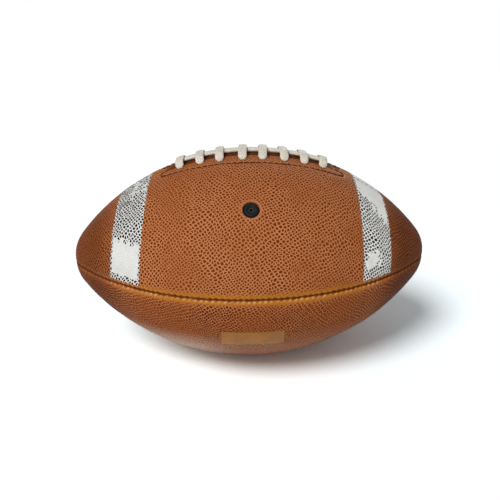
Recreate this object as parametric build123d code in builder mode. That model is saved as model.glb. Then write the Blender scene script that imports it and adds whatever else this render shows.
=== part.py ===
from build123d import *
import math
import os

# American football, in millimetres.
# X is the long axis, Y runs from the front (negative) to the back, and Z is up, with the laces on top.
# The origin is the middle of the small flat patch that the ball rests on.

# Whole ball: a pointed oval of one long side arc and two round tips, turned about X
BALL_LENGTH = 286.0
BALL_DIAMETER = 168.0
TIP_RADIUS = 33.0
REST_FLAT_DEPTH = 0.6

# Cover panels, sewn inside out so that their edges turn inwards
PANEL_THICKNESS = 2.0
SEAM_VALLEY_HALF_WIDTH = 2.4
SEAM_VALLEY_DEPTH = 1.6
SEAM_ALLOWANCE_DEPTH = 7.0

# Layers under the cover
LAYER_CLEARANCE = 0.15
LINING_THICKNESS = 1.2
BLADDER_CLEARANCE = 0.3
BLADDER_WALL = 0.9

# Seam stitching: a thread along each side of the two turned-in edges, and stitches through both
THREAD_DIAMETER = 0.9
THREAD_CLEARANCE = 0.1
STITCH_THREAD_SHARE = 0.85
SEAM_STITCH_LENGTH = 6.0
SEAM_STITCH_DEPTH = 5.2
SEAM_STITCH_TIP_SPACE = 4.0

# Lace: one strip, laid lengthwise and then wound over itself in cross bars
LACE_WIDTH = 6.2
LACE_THICKNESS = 2.2
LACE_BAR_COUNT = 8
LACE_BAR_PITCH = 15.5
LACE_SPAN = 26.0
LACE_END_SPAN = 17.6
LACE_OFFSET = 2.4
LACE_BEND_RADIUS = 1.6
LACE_STUB_LENGTH = 2.0
LACE_TUCK_LENGTH = 2.6
LACE_SURFACE_CLEARANCE = 0.1
LACE_RUN_CLEARANCE = 0.55
LACE_CROSSING_GAP = 0.65
LACE_SLOT_CLEARANCE = 0.3
LACE_GAP_POINTS = 24

# Facings: leaf-shaped strips behind the lace holes, each with its own stitch line
FACING_LENGTH = 149.0
FACING_HALF_WIDTH = 23.7
FACING_END_HALF_WIDTH = 16.7
FACING_CORNER_RADIUS = 7.9
FACING_THICKNESS = 1.4
FACING_SEAM_GAP = 0.5
FACING_STITCH_MARGIN = 4.5
FACING_STITCH_LENGTH = 4.5
FACING_STITCH_GAP = 0.5
FACING_THREAD_SINK = 0.45

# Tongue: the flap between the lace and the bladder
TONGUE_LENGTH = 124.0
TONGUE_WIDTH = 34.0
TONGUE_THICKNESS = 1.2
TONGUE_CLEARANCE = 0.4

# Inflation valve, in the middle of the front upper panel
VALVE_ANGLE = 45.0
VALVE_BUTTON_RADIUS = 6.0
VALVE_RECESS = 0.4
VALVE_FLANGE_RADIUS = 9.0
VALVE_FLANGE_THICKNESS = 1.5
VALVE_STEM_RADIUS = 5.0
VALVE_LENGTH = 18.0
VALVE_HOLE_CLEARANCE = 0.2
VALVE_CORE_RADIUS = 2.6
VALVE_CORE_DEPTH = 1.1
VALVE_CORE_CLEARANCE = 0.05
NEEDLE_BORE_RADIUS = 1.2
NEEDLE_ENTRY_RADIUS = 1.4
NEEDLE_DISH_RADIUS = 2.6
NEEDLE_DISH_ANGLE = 130.0

# Blank film stuck on the front lower panel
LABEL_LENGTH = 47.0
LABEL_HEIGHT = 23.5
LABEL_THICKNESS = 0.2
LABEL_CLEARANCE = 0.05
LABEL_ANGLE = 118.0

# How far cuts run past what they cut
OVERRUN = 1.0

# Ball profile worked out from its driving sizes
HALF_LENGTH = BALL_LENGTH / 2
RADIUS = BALL_DIAMETER / 2
TIP_CENTRE = HALF_LENGTH - TIP_RADIUS
SIDE_RADIUS = (TIP_CENTRE**2 + RADIUS**2 - TIP_RADIUS**2) / (2 * (RADIUS - TIP_RADIUS))
SIDE_DROP = SIDE_RADIUS - RADIUS
SIDE_START = math.degrees(math.atan2(SIDE_DROP, TIP_CENTRE))
SIDE_SWEEP = 180 - 2 * SIDE_START
CENTRE_HEIGHT = RADIUS - REST_FLAT_DEPTH
CENTRE = Vector(0, 0, CENTRE_HEIGHT)
LONG_AXIS = Axis(CENTRE, (1, 0, 0))

# Depth of each layer below the outer surface
LINING_OUTER = PANEL_THICKNESS + LAYER_CLEARANCE
LINING_INNER = LINING_OUTER + LINING_THICKNESS
FACING_OUTER = LINING_INNER + LAYER_CLEARANCE
FACING_INNER = FACING_OUTER + FACING_THICKNESS
FACING_THREAD_OUTER = FACING_INNER + THREAD_CLEARANCE
FACING_THREAD_INNER = FACING_THREAD_OUTER + THREAD_DIAMETER
FACING_GROOVE = FACING_THREAD_SINK + THREAD_CLEARANCE
BLADDER_OUTER = LINING_INNER + BLADDER_CLEARANCE
BLADDER_SEAM_BED = SEAM_ALLOWANCE_DEPTH + BLADDER_CLEARANCE
BLADDER_FACING_BED = FACING_THREAD_INNER + BLADDER_CLEARANCE


def arc_rise(radius, half_chord):
    """How far an arc of this radius rises over half its chord."""
    return radius - math.sqrt(radius**2 - half_chord**2)


# Seam stitching: where the threads run beside the turned-in edges
SEAM_THREAD_OFFSET = PANEL_THICKNESS + THREAD_CLEARANCE + THREAD_DIAMETER / 2
SEAM_THREAD_REACH = SEAM_THREAD_OFFSET + THREAD_DIAMETER / 2 + THREAD_CLEARANCE
SEAM_THREAD_RADIUS = SIDE_RADIUS - SEAM_STITCH_DEPTH
STITCH_RADIUS = STITCH_THREAD_SHARE * THREAD_DIAMETER / 2
SEWN_START = SIDE_START + math.degrees(SEAM_STITCH_TIP_SPACE / SEAM_THREAD_RADIUS)
SEWN_SWEEP = 180 - 2 * SEWN_START
OPENING_HALF_LENGTH = FACING_LENGTH / 2 + LACE_OFFSET + OVERRUN
OPENING_HALF_ANGLE = math.degrees(math.asin(OPENING_HALF_LENGTH / SEAM_THREAD_RADIUS))
LACE_SEAM_END_SWEEP = SEWN_SWEEP / 2 - OPENING_HALF_ANGLE

# Lace: heights in the frame of one bar, whose zero is the outer surface at the seam
LACE_EDGE_DROP = arc_rise(RADIUS, (LACE_SPAN + LACE_THICKNESS) / 2)
LACE_BAR_HEIGHT = LACE_SURFACE_CLEARANCE + LACE_THICKNESS / 2
LACE_RUN_HEIGHT = LACE_RUN_CLEARANCE + LACE_THICKNESS / 2
LACE_CROWN_HEIGHT = LACE_RUN_HEIGHT + LACE_THICKNESS + LACE_CROSSING_GAP
LACE_UNDER_TOP = FACING_THREAD_INNER + LACE_EDGE_DROP + LACE_SLOT_CLEARANCE
LACE_UNDER_HEIGHT = -LACE_UNDER_TOP - LACE_THICKNESS / 2
LACE_UNDER_BOTTOM = LACE_UNDER_TOP + LACE_THICKNESS
LACE_PITCH_ANGLE = math.degrees(LACE_BAR_PITCH / SIDE_RADIUS)
LACE_END_ANGLE = LACE_PITCH_ANGLE * (LACE_BAR_COUNT - 1) / 2
LACE_RUN_ANGLE = LACE_END_ANGLE + math.degrees(LACE_TUCK_LENGTH / SIDE_RADIUS)
LACE_OFFSET_ANGLE = math.degrees(LACE_OFFSET / SIDE_RADIUS)
LACE_ARC_AXIS = Axis(CENTRE - (0, 0, SIDE_DROP), (0, 1, 0))

# Tongue and the bed that it presses into the bladder
TONGUE_OUTER = LACE_UNDER_BOTTOM + TONGUE_CLEARANCE
TONGUE_INNER = TONGUE_OUTER + TONGUE_THICKNESS
BLADDER_LACE_BED = TONGUE_INNER + BLADDER_CLEARANCE

# Facing outline, in plan: one long arc over the length
FACING_HALF_LENGTH = FACING_LENGTH / 2
FACING_RISE = FACING_HALF_WIDTH - FACING_END_HALF_WIDTH
FACING_RADIUS = (FACING_RISE**2 + FACING_HALF_LENGTH**2) / (2 * FACING_RISE)
FACING_CENTRE = FACING_HALF_WIDTH - FACING_RADIUS

# Valve: depths below the outer surface, along its own axis
VALVE_FLANGE_TOP = (
    LINING_INNER + LAYER_CLEARANCE + arc_rise(RADIUS - LINING_INNER, VALVE_FLANGE_RADIUS)
)
VALVE_FLANGE_BOTTOM = VALVE_FLANGE_TOP + VALVE_FLANGE_THICKNESS
VALVE_BED = VALVE_FLANGE_BOTTOM + LAYER_CLEARANCE


def meridian_plane(angle):
    """The plane through the long axis, turned from straight up towards the front."""
    turn = math.radians(angle)
    return Plane(CENTRE, x_dir=(1, 0, 0), z_dir=(0, -math.cos(turn), -math.sin(turn)))


def meridian_arcs(inset):
    """Centre, radius, start and sweep of the three arcs of the profile, this far inside the ball."""
    return [
        ((TIP_CENTRE, 0), TIP_RADIUS - inset, 0, SIDE_START),
        ((0, -SIDE_DROP), SIDE_RADIUS - inset, SIDE_START, SIDE_SWEEP),
        ((-TIP_CENTRE, 0), TIP_RADIUS - inset, 180 - SIDE_START, SIDE_START),
    ]


def ball(inset, start=0, sweep=360, mode=Mode.ADD):
    """The ball's form, this far inside its outer surface, over an angle about the long axis."""
    with BuildSketch(meridian_plane(start)) as profile:
        with BuildLine():
            for centre, radius, arc_start, arc_sweep in meridian_arcs(inset):
                CenterArc(centre, radius, arc_start, arc_sweep)
            Line((inset - HALF_LENGTH, 0), (HALF_LENGTH - inset, 0))
        make_face()
    revolve(profile.sketch, LONG_AXIS, sweep, mode=mode)


def span_box(x_half, y_span, z_span, mode):
    """A box that is centred on X and runs between two places in Y and two in Z."""
    middle = ((y_span[0] + y_span[1]) / 2, (z_span[0] + z_span[1]) / 2)
    with Locations((0, *middle)):
        Box(2 * x_half, y_span[1] - y_span[0], z_span[1] - z_span[0], mode=mode)


def arc_section_plane(plane, centre, radius, angle):
    """The plane across an arc of a meridian plane: X along the meridian plane's normal, Y outwards."""
    turn = math.radians(angle)
    outwards = Vector(math.cos(turn), math.sin(turn))
    place = Vector(centre) + outwards * radius
    x_dir = plane.z_dir
    y_dir = plane.from_local_coords(place) - plane.from_local_coords(Vector(centre))
    return Plane(plane.from_local_coords(place), x_dir=x_dir, z_dir=x_dir.cross(y_dir))


def cut_seam_valley(angle):
    """Round off the outer edge of the panels along the seam in this meridian plane."""
    plane = meridian_plane(angle)
    fold_radius = (SEAM_VALLEY_HALF_WIDTH**2 + SEAM_VALLEY_DEPTH**2) / (2 * SEAM_VALLEY_DEPTH)
    fold_rise = math.degrees(math.asin((fold_radius - SEAM_VALLEY_DEPTH) / fold_radius))
    for centre, radius, start, sweep in meridian_arcs(0):
        with BuildSketch(arc_section_plane(plane, centre, radius, start)) as valley:
            with BuildLine():
                right = CenterArc(
                    (SEAM_VALLEY_HALF_WIDTH, -fold_radius), fold_radius, 90, 90 - fold_rise
                )
                left = CenterArc(
                    (-SEAM_VALLEY_HALF_WIDTH, -fold_radius), fold_radius, fold_rise, 90 - fold_rise
                )
                Polyline(
                    right @ 0,
                    (SEAM_VALLEY_HALF_WIDTH, OVERRUN),
                    (-SEAM_VALLEY_HALF_WIDTH, OVERRUN),
                    left @ 1,
                )
            make_face()
        axis = Axis(plane.from_local_coords(Vector(centre)), plane.z_dir)
        revolve(valley.sketch, axis, sweep, mode=Mode.SUBTRACT)


def stitch_places(spans):
    """Places, in a meridian plane, of the stitches along these stretches of a seam."""
    places = []
    for start, sweep in spans:
        count = round(math.radians(sweep) * SEAM_THREAD_RADIUS / SEAM_STITCH_LENGTH)
        for index in range(count):
            turn = math.radians(start + sweep * (index + 0.5) / count)
            x = SEAM_THREAD_RADIUS * math.cos(turn)
            places.append((x, SEAM_THREAD_RADIUS * math.sin(turn) - SIDE_DROP))
    return places


def seam_stitches(angle, spans, radius, reach, mode):
    """Round rods across the seam in this meridian plane, one for each stitch."""
    with BuildSketch(meridian_plane(angle)) as stitches:
        with Locations(*stitch_places(spans)):
            Circle(radius)
    extrude(stitches.sketch, reach, both=True, mode=mode)


FULL_SEAM = [(SEWN_START, SEWN_SWEEP)]
LACE_SEAM_ENDS = [
    (SEWN_START, LACE_SEAM_END_SWEEP),
    (180 - SEWN_START - LACE_SEAM_END_SWEEP, LACE_SEAM_END_SWEEP),
]
SEAM_SPANS = {0: LACE_SEAM_ENDS, 90: FULL_SEAM, 180: FULL_SEAM, 270: FULL_SEAM, 360: LACE_SEAM_ENDS}


def lace_frame(angle):
    """The frame on the lace seam, this angle along its arc from the middle bars: Z is outwards."""
    turn = angle + LACE_OFFSET_ANGLE
    return Plane(LACE_ARC_AXIS.position).rotated((0, turn, 0)).offset(SIDE_RADIUS)


def across_frame(frame):
    """The plane across the seam at a lace frame, with X to the back and Y outwards."""
    return Plane(frame.origin, x_dir=frame.y_dir, z_dir=frame.x_dir)


def bar_half_span(index):
    """Half the distance between a bar's two slots, which lie on a long arc on each side."""
    from_middle = 2 * index / (LACE_BAR_COUNT - 1) - 1
    return (LACE_SPAN - (LACE_SPAN - LACE_END_SPAN) * from_middle**2) / 2


BAR_FRAMES = [
    lace_frame(LACE_PITCH_ANGLE * index - LACE_END_ANGLE) for index in range(LACE_BAR_COUNT)
]
BAR_HALF_SPANS = [bar_half_span(index) for index in range(LACE_BAR_COUNT)]
RUN_FRAMES = [lace_frame(-LACE_RUN_ANGLE), lace_frame(LACE_RUN_ANGLE)]


def cut_lace_slots():
    """Punch the slots that the cross bars and the two ends of the lengthwise run pass through."""
    slot_length = LACE_WIDTH + 2 * LACE_SLOT_CLEARANCE
    slot_width = LACE_THICKNESS + 2 * LACE_SLOT_CLEARANCE
    slot_depth = 2 * (FACING_INNER + LACE_EDGE_DROP + OVERRUN)
    bar_places = [
        frame.location * Location((0, side * half_span, 0))
        for frame, half_span in zip(BAR_FRAMES, BAR_HALF_SPANS)
        for side in (-1, 1)
    ]
    with Locations(*bar_places):
        Box(slot_length, slot_width, slot_depth, mode=Mode.SUBTRACT)
    with Locations(*[frame.location for frame in RUN_FRAMES]):
        Box(slot_width, slot_length, slot_depth, mode=Mode.SUBTRACT)


def facing_leaf(inset):
    """The back facing's outline in plan, or a line this far inside it."""
    half_length = FACING_HALF_LENGTH - inset
    near = FACING_SEAM_GAP + inset
    rise = math.sqrt((FACING_RADIUS - inset) ** 2 - half_length**2)
    with BuildSketch(Plane((LACE_OFFSET, 0, CENTRE_HEIGHT))) as leaf:
        with BuildLine():
            far = ThreePointArc(
                (half_length, FACING_CENTRE + rise),
                (0, FACING_HALF_WIDTH - inset),
                (-half_length, FACING_CENTRE + rise),
            )
            Polyline(far @ 1, (-half_length, near), (half_length, near), far @ 0)
        make_face()
        fillet(leaf.vertices(), FACING_CORNER_RADIUS - inset)
    return leaf


def facing_stitch_places():
    """Places, in plan, of the holes along the back facing's stitch line."""
    line = facing_leaf(FACING_STITCH_MARGIN).sketch.face().outer_wire()
    count = round(line.length / FACING_STITCH_LENGTH)
    return [line.position_at(index / count) for index in range(count)]


def facing_stitch_rods(radius):
    """Upright rods through the holes of the back facing's stitch line."""
    with BuildSketch(Plane.XY.offset(CENTRE_HEIGHT)) as rods:
        with Locations(*[(place.X, place.Y) for place in facing_stitch_places()]):
            Circle(radius)
    extrude(rods.sketch, RADIUS + OVERRUN)


def facing_stitch_band(width):
    """An upright band along the whole of the back facing's stitch line."""
    extrude(facing_leaf(FACING_STITCH_MARGIN - width / 2).sketch, RADIUS + OVERRUN)
    inside = facing_leaf(FACING_STITCH_MARGIN + width / 2)
    extrude(inside.sketch, RADIUS + OVERRUN, mode=Mode.SUBTRACT)


def facing_stitches(gap, width):
    """Upright slots along the back facing's stitches, which end this far short of their holes."""
    places = facing_stitch_places()
    with BuildSketch(Plane.XY.offset(CENTRE_HEIGHT)) as stitches:
        for first, last in zip(places, places[1:] + places[:1]):
            step = last - first
            turn = math.degrees(math.atan2(step.Y, step.X))
            with Locations(((first.X + last.X) / 2, (first.Y + last.Y) / 2)):
                SlotCenterToCenter(step.length - 2 * gap, width, rotation=turn)
    extrude(stitches.sketch, RADIUS + OVERRUN)


# Cutters that several pieces share

with BuildPart() as stitch_holes_back:
    facing_stitch_rods(STITCH_RADIUS + THREAD_CLEARANCE)

with BuildPart() as stitch_holes_front:
    mirror(stitch_holes_back.part, about=Plane.XZ)

with BuildPart() as stitch_groove_back:
    facing_stitches(0, THREAD_DIAMETER + 2 * THREAD_CLEARANCE)
    ball(FACING_GROOVE, mode=Mode.SUBTRACT)

with BuildPart() as stitch_groove_front:
    mirror(stitch_groove_back.part, about=Plane.XZ)

with BuildPart() as lace_opening:
    ball(PANEL_THICKNESS)
    flange_half_width = PANEL_THICKNESS + OVERRUN
    span_box(
        OPENING_HALF_LENGTH,
        (-flange_half_width, flange_half_width),
        (CENTRE_HEIGHT + RADIUS / 2, CENTRE_HEIGHT + RADIUS),
        Mode.INTERSECT,
    )

VALVE_PLANE = Plane(
    CENTRE + meridian_plane(VALVE_ANGLE).y_dir * RADIUS,
    x_dir=(1, 0, 0),
    z_dir=meridian_plane(VALVE_ANGLE).y_dir,
)


def valve_cylinder(radius, top, bottom, mode=Mode.ADD):
    """A round length of the valve's axis between two depths below the outer surface."""
    with BuildSketch(VALVE_PLANE.offset(-top)) as disc:
        Circle(radius)
    extrude(disc.sketch, top - bottom, mode=mode)


# Cover panels

with BuildPart() as panel_pocket:
    ball(PANEL_THICKNESS, sweep=90)
    span_box(
        HALF_LENGTH,
        (-RADIUS, -PANEL_THICKNESS),
        (CENTRE_HEIGHT + PANEL_THICKNESS, CENTRE_HEIGHT + RADIUS),
        Mode.INTERSECT,
    )

with BuildPart() as panel_blank:
    ball(0, sweep=90)
    ball(SEAM_ALLOWANCE_DEPTH, mode=Mode.SUBTRACT)
    add(panel_pocket.part, mode=Mode.SUBTRACT)
    cut_seam_valley(0)
    cut_seam_valley(90)


def cover_panel(first_seam):
    """One panel between two seams, with the holes of the stitches that close them."""
    with BuildPart() as panel:
        add(panel_blank.part.rotate(LONG_AXIS, first_seam))
        for seam in (first_seam, first_seam + 90):
            hole_radius = STITCH_RADIUS + THREAD_CLEARANCE
            seam_stitches(
                seam, SEAM_SPANS[seam], hole_radius, PANEL_THICKNESS + OVERRUN, Mode.SUBTRACT
            )
    return panel


def laced_panel(first_seam, groove, holes):
    """A panel beside the laces, with their slots and the stitch line of its facing."""
    blank = cover_panel(first_seam)
    with BuildPart() as panel:
        add(blank.part)
        add(lace_opening.part, mode=Mode.SUBTRACT)
        cut_lace_slots()
        add(groove.part, mode=Mode.SUBTRACT)
        add(holes.part, mode=Mode.SUBTRACT)
    return panel


def resting_panel(first_seam):
    """A panel beside the bottom seam, pressed flat where the ball rests."""
    blank = cover_panel(first_seam)
    with BuildPart() as panel:
        add(blank.part)
        span_box(HALF_LENGTH, (-RADIUS, RADIUS), (-RADIUS, 0), Mode.SUBTRACT)
    return panel


laced_front = laced_panel(0, stitch_groove_front, stitch_holes_front)
with BuildPart() as panel_front_upper:
    add(laced_front.part)
    valve_cylinder(
        VALVE_BUTTON_RADIUS + VALVE_HOLE_CLEARANCE, -OVERRUN, LINING_INNER, Mode.SUBTRACT
    )

panel_front_lower = resting_panel(90)
panel_back_lower = resting_panel(180)
panel_back_upper = laced_panel(270, stitch_groove_back, stitch_holes_back)

# Linings, one behind each panel, which stop short of the turned-in edges

with BuildPart() as lining_blank:
    ball(LINING_OUTER, sweep=90)
    ball(LINING_INNER, mode=Mode.SUBTRACT)
    span_box(
        HALF_LENGTH,
        (-RADIUS, -SEAM_THREAD_REACH),
        (CENTRE_HEIGHT + SEAM_THREAD_REACH, CENTRE_HEIGHT + RADIUS),
        Mode.INTERSECT,
    )

with BuildPart() as lining_front_upper:
    add(lining_blank.part)
    cut_lace_slots()
    add(stitch_holes_front.part, mode=Mode.SUBTRACT)
    valve_cylinder(
        VALVE_BUTTON_RADIUS + VALVE_HOLE_CLEARANCE, -OVERRUN, VALVE_FLANGE_TOP, Mode.SUBTRACT
    )

with BuildPart() as lining_front_lower:
    add(lining_blank.part.rotate(LONG_AXIS, 90))

with BuildPart() as lining_back_lower:
    add(lining_blank.part.rotate(LONG_AXIS, 180))

with BuildPart() as lining_back_upper:
    add(lining_blank.part.rotate(LONG_AXIS, 270))
    cut_lace_slots()
    add(stitch_holes_back.part, mode=Mode.SUBTRACT)

# Seam threads


def seam_thread(spans):
    """The stitching of the seam on top: a thread on each side of it and the stitches across."""
    plane = meridian_plane(0)
    centre = (0, -SIDE_DROP)
    axis = Axis(plane.from_local_coords(Vector(centre)), plane.z_dir)
    with BuildPart() as thread:
        for start, sweep in spans:
            with BuildSketch(arc_section_plane(plane, centre, SEAM_THREAD_RADIUS, start)):
                with Locations((-SEAM_THREAD_OFFSET, 0), (SEAM_THREAD_OFFSET, 0)):
                    Circle(THREAD_DIAMETER / 2)
            revolve(axis=axis, revolution_arc=sweep)
        seam_stitches(0, spans, STITCH_RADIUS, SEAM_THREAD_OFFSET, Mode.ADD)
    return thread


thread_seam_lace_ends = seam_thread(LACE_SEAM_ENDS)
full_seam_thread = seam_thread(FULL_SEAM)

with BuildPart() as thread_seam_front:
    add(full_seam_thread.part.rotate(LONG_AXIS, 90))

with BuildPart() as thread_seam_bottom:
    add(full_seam_thread.part.rotate(LONG_AXIS, 180))

with BuildPart() as thread_seam_back:
    add(full_seam_thread.part.rotate(LONG_AXIS, 270))

# Facings and their stitch lines

with BuildPart() as facing_back:
    extrude(facing_leaf(0).sketch, RADIUS)
    ball(FACING_OUTER, mode=Mode.INTERSECT)
    ball(FACING_INNER, mode=Mode.SUBTRACT)
    cut_lace_slots()
    add(stitch_holes_back.part, mode=Mode.SUBTRACT)

with BuildPart() as facing_front:
    mirror(facing_back.part, about=Plane.XZ)

with BuildPart() as facing_stitches_above:
    facing_stitches(FACING_STITCH_GAP, THREAD_DIAMETER)
    ball(FACING_THREAD_SINK - THREAD_DIAMETER, mode=Mode.INTERSECT)
    ball(FACING_THREAD_SINK, mode=Mode.SUBTRACT)

with BuildPart() as facing_stitches_through:
    facing_stitch_rods(STITCH_RADIUS)
    ball(0, mode=Mode.INTERSECT)
    ball(FACING_THREAD_INNER - THREAD_DIAMETER / 2, mode=Mode.SUBTRACT)

with BuildPart() as thread_facing_back:
    facing_stitch_band(THREAD_DIAMETER)
    ball(FACING_THREAD_OUTER, mode=Mode.INTERSECT)
    ball(FACING_THREAD_INNER, mode=Mode.SUBTRACT)
    add(facing_stitches_through.part)
    add(facing_stitches_above.part)

with BuildPart() as thread_facing_front:
    mirror(thread_facing_back.part, about=Plane.XZ)

# Lace


def bar_shoulder_height(half_span):
    """Height at which a bar's middle line leaves its slots."""
    return LACE_BAR_HEIGHT - arc_rise(RADIUS, half_span + LACE_THICKNESS / 2)


def lace_bar(frame, half_span):
    """One cross bar: over the seam, down through its two slots and a short way in underneath."""
    stub_end = half_span - LACE_STUB_LENGTH
    shoulder = bar_shoulder_height(half_span)
    with BuildPart() as bar:
        with BuildSketch(across_frame(frame)):
            with BuildLine() as route:
                front = Polyline(
                    (-stub_end, LACE_UNDER_HEIGHT),
                    (-half_span, LACE_UNDER_HEIGHT),
                    (-half_span, shoulder),
                )
                back = Polyline(
                    (stub_end, LACE_UNDER_HEIGHT),
                    (half_span, LACE_UNDER_HEIGHT),
                    (half_span, shoulder),
                )
                ThreePointArc(front @ 1, (0, LACE_CROWN_HEIGHT), back @ 1)
                clear_of_stubs = half_span - LACE_STUB_LENGTH / 2
                corners = [corner for corner in route.vertices() if abs(corner.X) > clear_of_stubs]
                fillet(corners, LACE_BEND_RADIUS)
            trace(line_width=LACE_THICKNESS)
        extrude(amount=LACE_WIDTH / 2, both=True)
    return bar


def lace_under_run(first_frame, first_y, last_frame, last_y):
    """The stretch under the facings, from below one slot to below another."""
    with BuildPart() as run:
        for frame, y in ((first_frame, first_y), (last_frame, last_y)):
            place = frame.from_local_coords(Vector(0, y, LACE_UNDER_HEIGHT))
            with BuildSketch(Plane(place, x_dir=frame.x_dir, z_dir=-frame.y_dir)):
                Rectangle(LACE_WIDTH, LACE_THICKNESS)
        loft(ruled=True)
    return run


with BuildPart() as lace:
    with BuildSketch(across_frame(RUN_FRAMES[0])):
        with Locations((0, LACE_RUN_HEIGHT)):
            Rectangle(LACE_WIDTH, LACE_THICKNESS)
    revolve(axis=LACE_ARC_AXIS, revolution_arc=2 * LACE_RUN_ANGLE)
    for run_frame in RUN_FRAMES:
        with BuildSketch(run_frame.offset(LACE_RUN_HEIGHT)):
            Rectangle(LACE_THICKNESS, LACE_WIDTH)
        extrude(amount=LACE_UNDER_HEIGHT - LACE_THICKNESS / 2 - LACE_RUN_HEIGHT)
    for bar_frame, bar_span in zip(BAR_FRAMES, BAR_HALF_SPANS):
        add(lace_bar(bar_frame, bar_span).part)
    stub_ends = [bar_span - LACE_STUB_LENGTH for bar_span in BAR_HALF_SPANS]
    for index in range(1, LACE_BAR_COUNT):
        first = (BAR_FRAMES[index], stub_ends[index])
        add(lace_under_run(*first, BAR_FRAMES[index - 1], -stub_ends[index - 1]).part)
    add(lace_under_run(RUN_FRAMES[1], 0, BAR_FRAMES[-1], -stub_ends[-1]).part)


def crossing_gap(half_span):
    """Least gap, on points across the lengthwise run, between it and the bar above it."""
    rise = LACE_CROWN_HEIGHT - bar_shoulder_height(half_span)
    bar_radius = (half_span**2 + rise**2) / (2 * rise)
    run_top = LACE_RUN_HEIGHT + LACE_THICKNESS / 2 - (LACE_CROWN_HEIGHT - bar_radius)
    points = [LACE_WIDTH / 2 * step / LACE_GAP_POINTS for step in range(LACE_GAP_POINTS + 1)]
    return min(bar_radius - LACE_THICKNESS / 2 - math.hypot(y, run_top) for y in points)


print("least gap of the lace to itself", min(crossing_gap(bar_span) for bar_span in BAR_HALF_SPANS))

# Tongue

with BuildPart() as tongue:
    ball(TONGUE_OUTER)
    ball(TONGUE_INNER, mode=Mode.SUBTRACT)
    span_box(
        TONGUE_LENGTH / 2,
        (-TONGUE_WIDTH / 2, TONGUE_WIDTH / 2),
        (CENTRE_HEIGHT, CENTRE_HEIGHT + RADIUS),
        Mode.INTERSECT,
    )

# Bladder: follows the inside of the cover, its seams, the facings, the tongue and the valve


def bladder_form(inset):
    """The bladder's outer form, or its inner one where the inset is the wall."""
    seam_half = SEAM_THREAD_REACH + BLADDER_CLEARANCE + inset
    top = CENTRE_HEIGHT + RADIUS
    with BuildPart() as seam_bed:
        span_box(HALF_LENGTH, (-seam_half, seam_half), (-RADIUS, top), Mode.ADD)
        seam_span = (CENTRE_HEIGHT - seam_half, CENTRE_HEIGHT + seam_half)
        span_box(HALF_LENGTH, (-RADIUS, RADIUS), seam_span, Mode.ADD)
        ball(BLADDER_SEAM_BED + inset, mode=Mode.SUBTRACT)
    with BuildPart() as facing_bed:
        half = FACING_HALF_WIDTH + BLADDER_CLEARANCE + inset
        half_length = FACING_LENGTH / 2 + LACE_OFFSET + BLADDER_CLEARANCE + inset
        span_box(half_length, (-half, half), (CENTRE_HEIGHT, top), Mode.ADD)
        ball(BLADDER_FACING_BED + inset, mode=Mode.SUBTRACT)
    with BuildPart() as lace_bed:
        half = TONGUE_WIDTH / 2 + BLADDER_CLEARANCE + inset
        half_length = TONGUE_LENGTH / 2 + BLADDER_CLEARANCE + inset
        span_box(half_length, (-half, half), (CENTRE_HEIGHT, top), Mode.ADD)
        ball(BLADDER_LACE_BED + inset, mode=Mode.SUBTRACT)
    with BuildPart() as form:
        ball(BLADDER_OUTER + inset)
        for bed in (seam_bed, facing_bed, lace_bed):
            add(bed.part, mode=Mode.SUBTRACT)
        valve_cylinder(
            VALVE_FLANGE_RADIUS + BLADDER_CLEARANCE + inset, 0, VALVE_BED + inset, Mode.SUBTRACT
        )
    return form


bladder_outside = bladder_form(0)
bladder_inside = bladder_form(BLADDER_WALL)

with BuildPart() as bladder:
    add(bladder_outside.part)
    add(bladder_inside.part, mode=Mode.SUBTRACT)
    valve_cylinder(
        VALVE_STEM_RADIUS + LAYER_CLEARANCE, 0, VALVE_BED + BLADDER_WALL + OVERRUN, Mode.SUBTRACT
    )

# Valve

with BuildPart() as valve_body:
    valve_cylinder(VALVE_BUTTON_RADIUS, VALVE_RECESS, VALVE_FLANGE_TOP)
    valve_cylinder(VALVE_FLANGE_RADIUS, VALVE_FLANGE_TOP, VALVE_FLANGE_BOTTOM)
    valve_cylinder(VALVE_STEM_RADIUS, VALVE_FLANGE_BOTTOM, VALVE_LENGTH)
    with Locations(VALVE_PLANE.offset(-VALVE_RECESS)):
        CounterSinkHole(
            NEEDLE_ENTRY_RADIUS,
            NEEDLE_DISH_RADIUS,
            depth=VALVE_CORE_DEPTH,
            counter_sink_angle=NEEDLE_DISH_ANGLE,
        )
    valve_cylinder(
        VALVE_CORE_RADIUS + VALVE_CORE_CLEARANCE, VALVE_CORE_DEPTH, VALVE_LENGTH, Mode.SUBTRACT
    )

with BuildPart() as valve_core:
    valve_cylinder(VALVE_CORE_RADIUS, VALVE_CORE_DEPTH, VALVE_LENGTH)
    valve_cylinder(NEEDLE_BORE_RADIUS, VALVE_CORE_DEPTH, VALVE_LENGTH, Mode.SUBTRACT)

# Blank film

with BuildPart() as label_film:
    label_sweep = math.degrees(LABEL_HEIGHT / RADIUS)
    ball(-LABEL_CLEARANCE - LABEL_THICKNESS, LABEL_ANGLE - label_sweep / 2, label_sweep)
    ball(-LABEL_CLEARANCE, mode=Mode.SUBTRACT)
    span_box(LABEL_LENGTH / 2, (-2 * RADIUS, 0), (-RADIUS, CENTRE_HEIGHT), Mode.INTERSECT)

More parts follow.
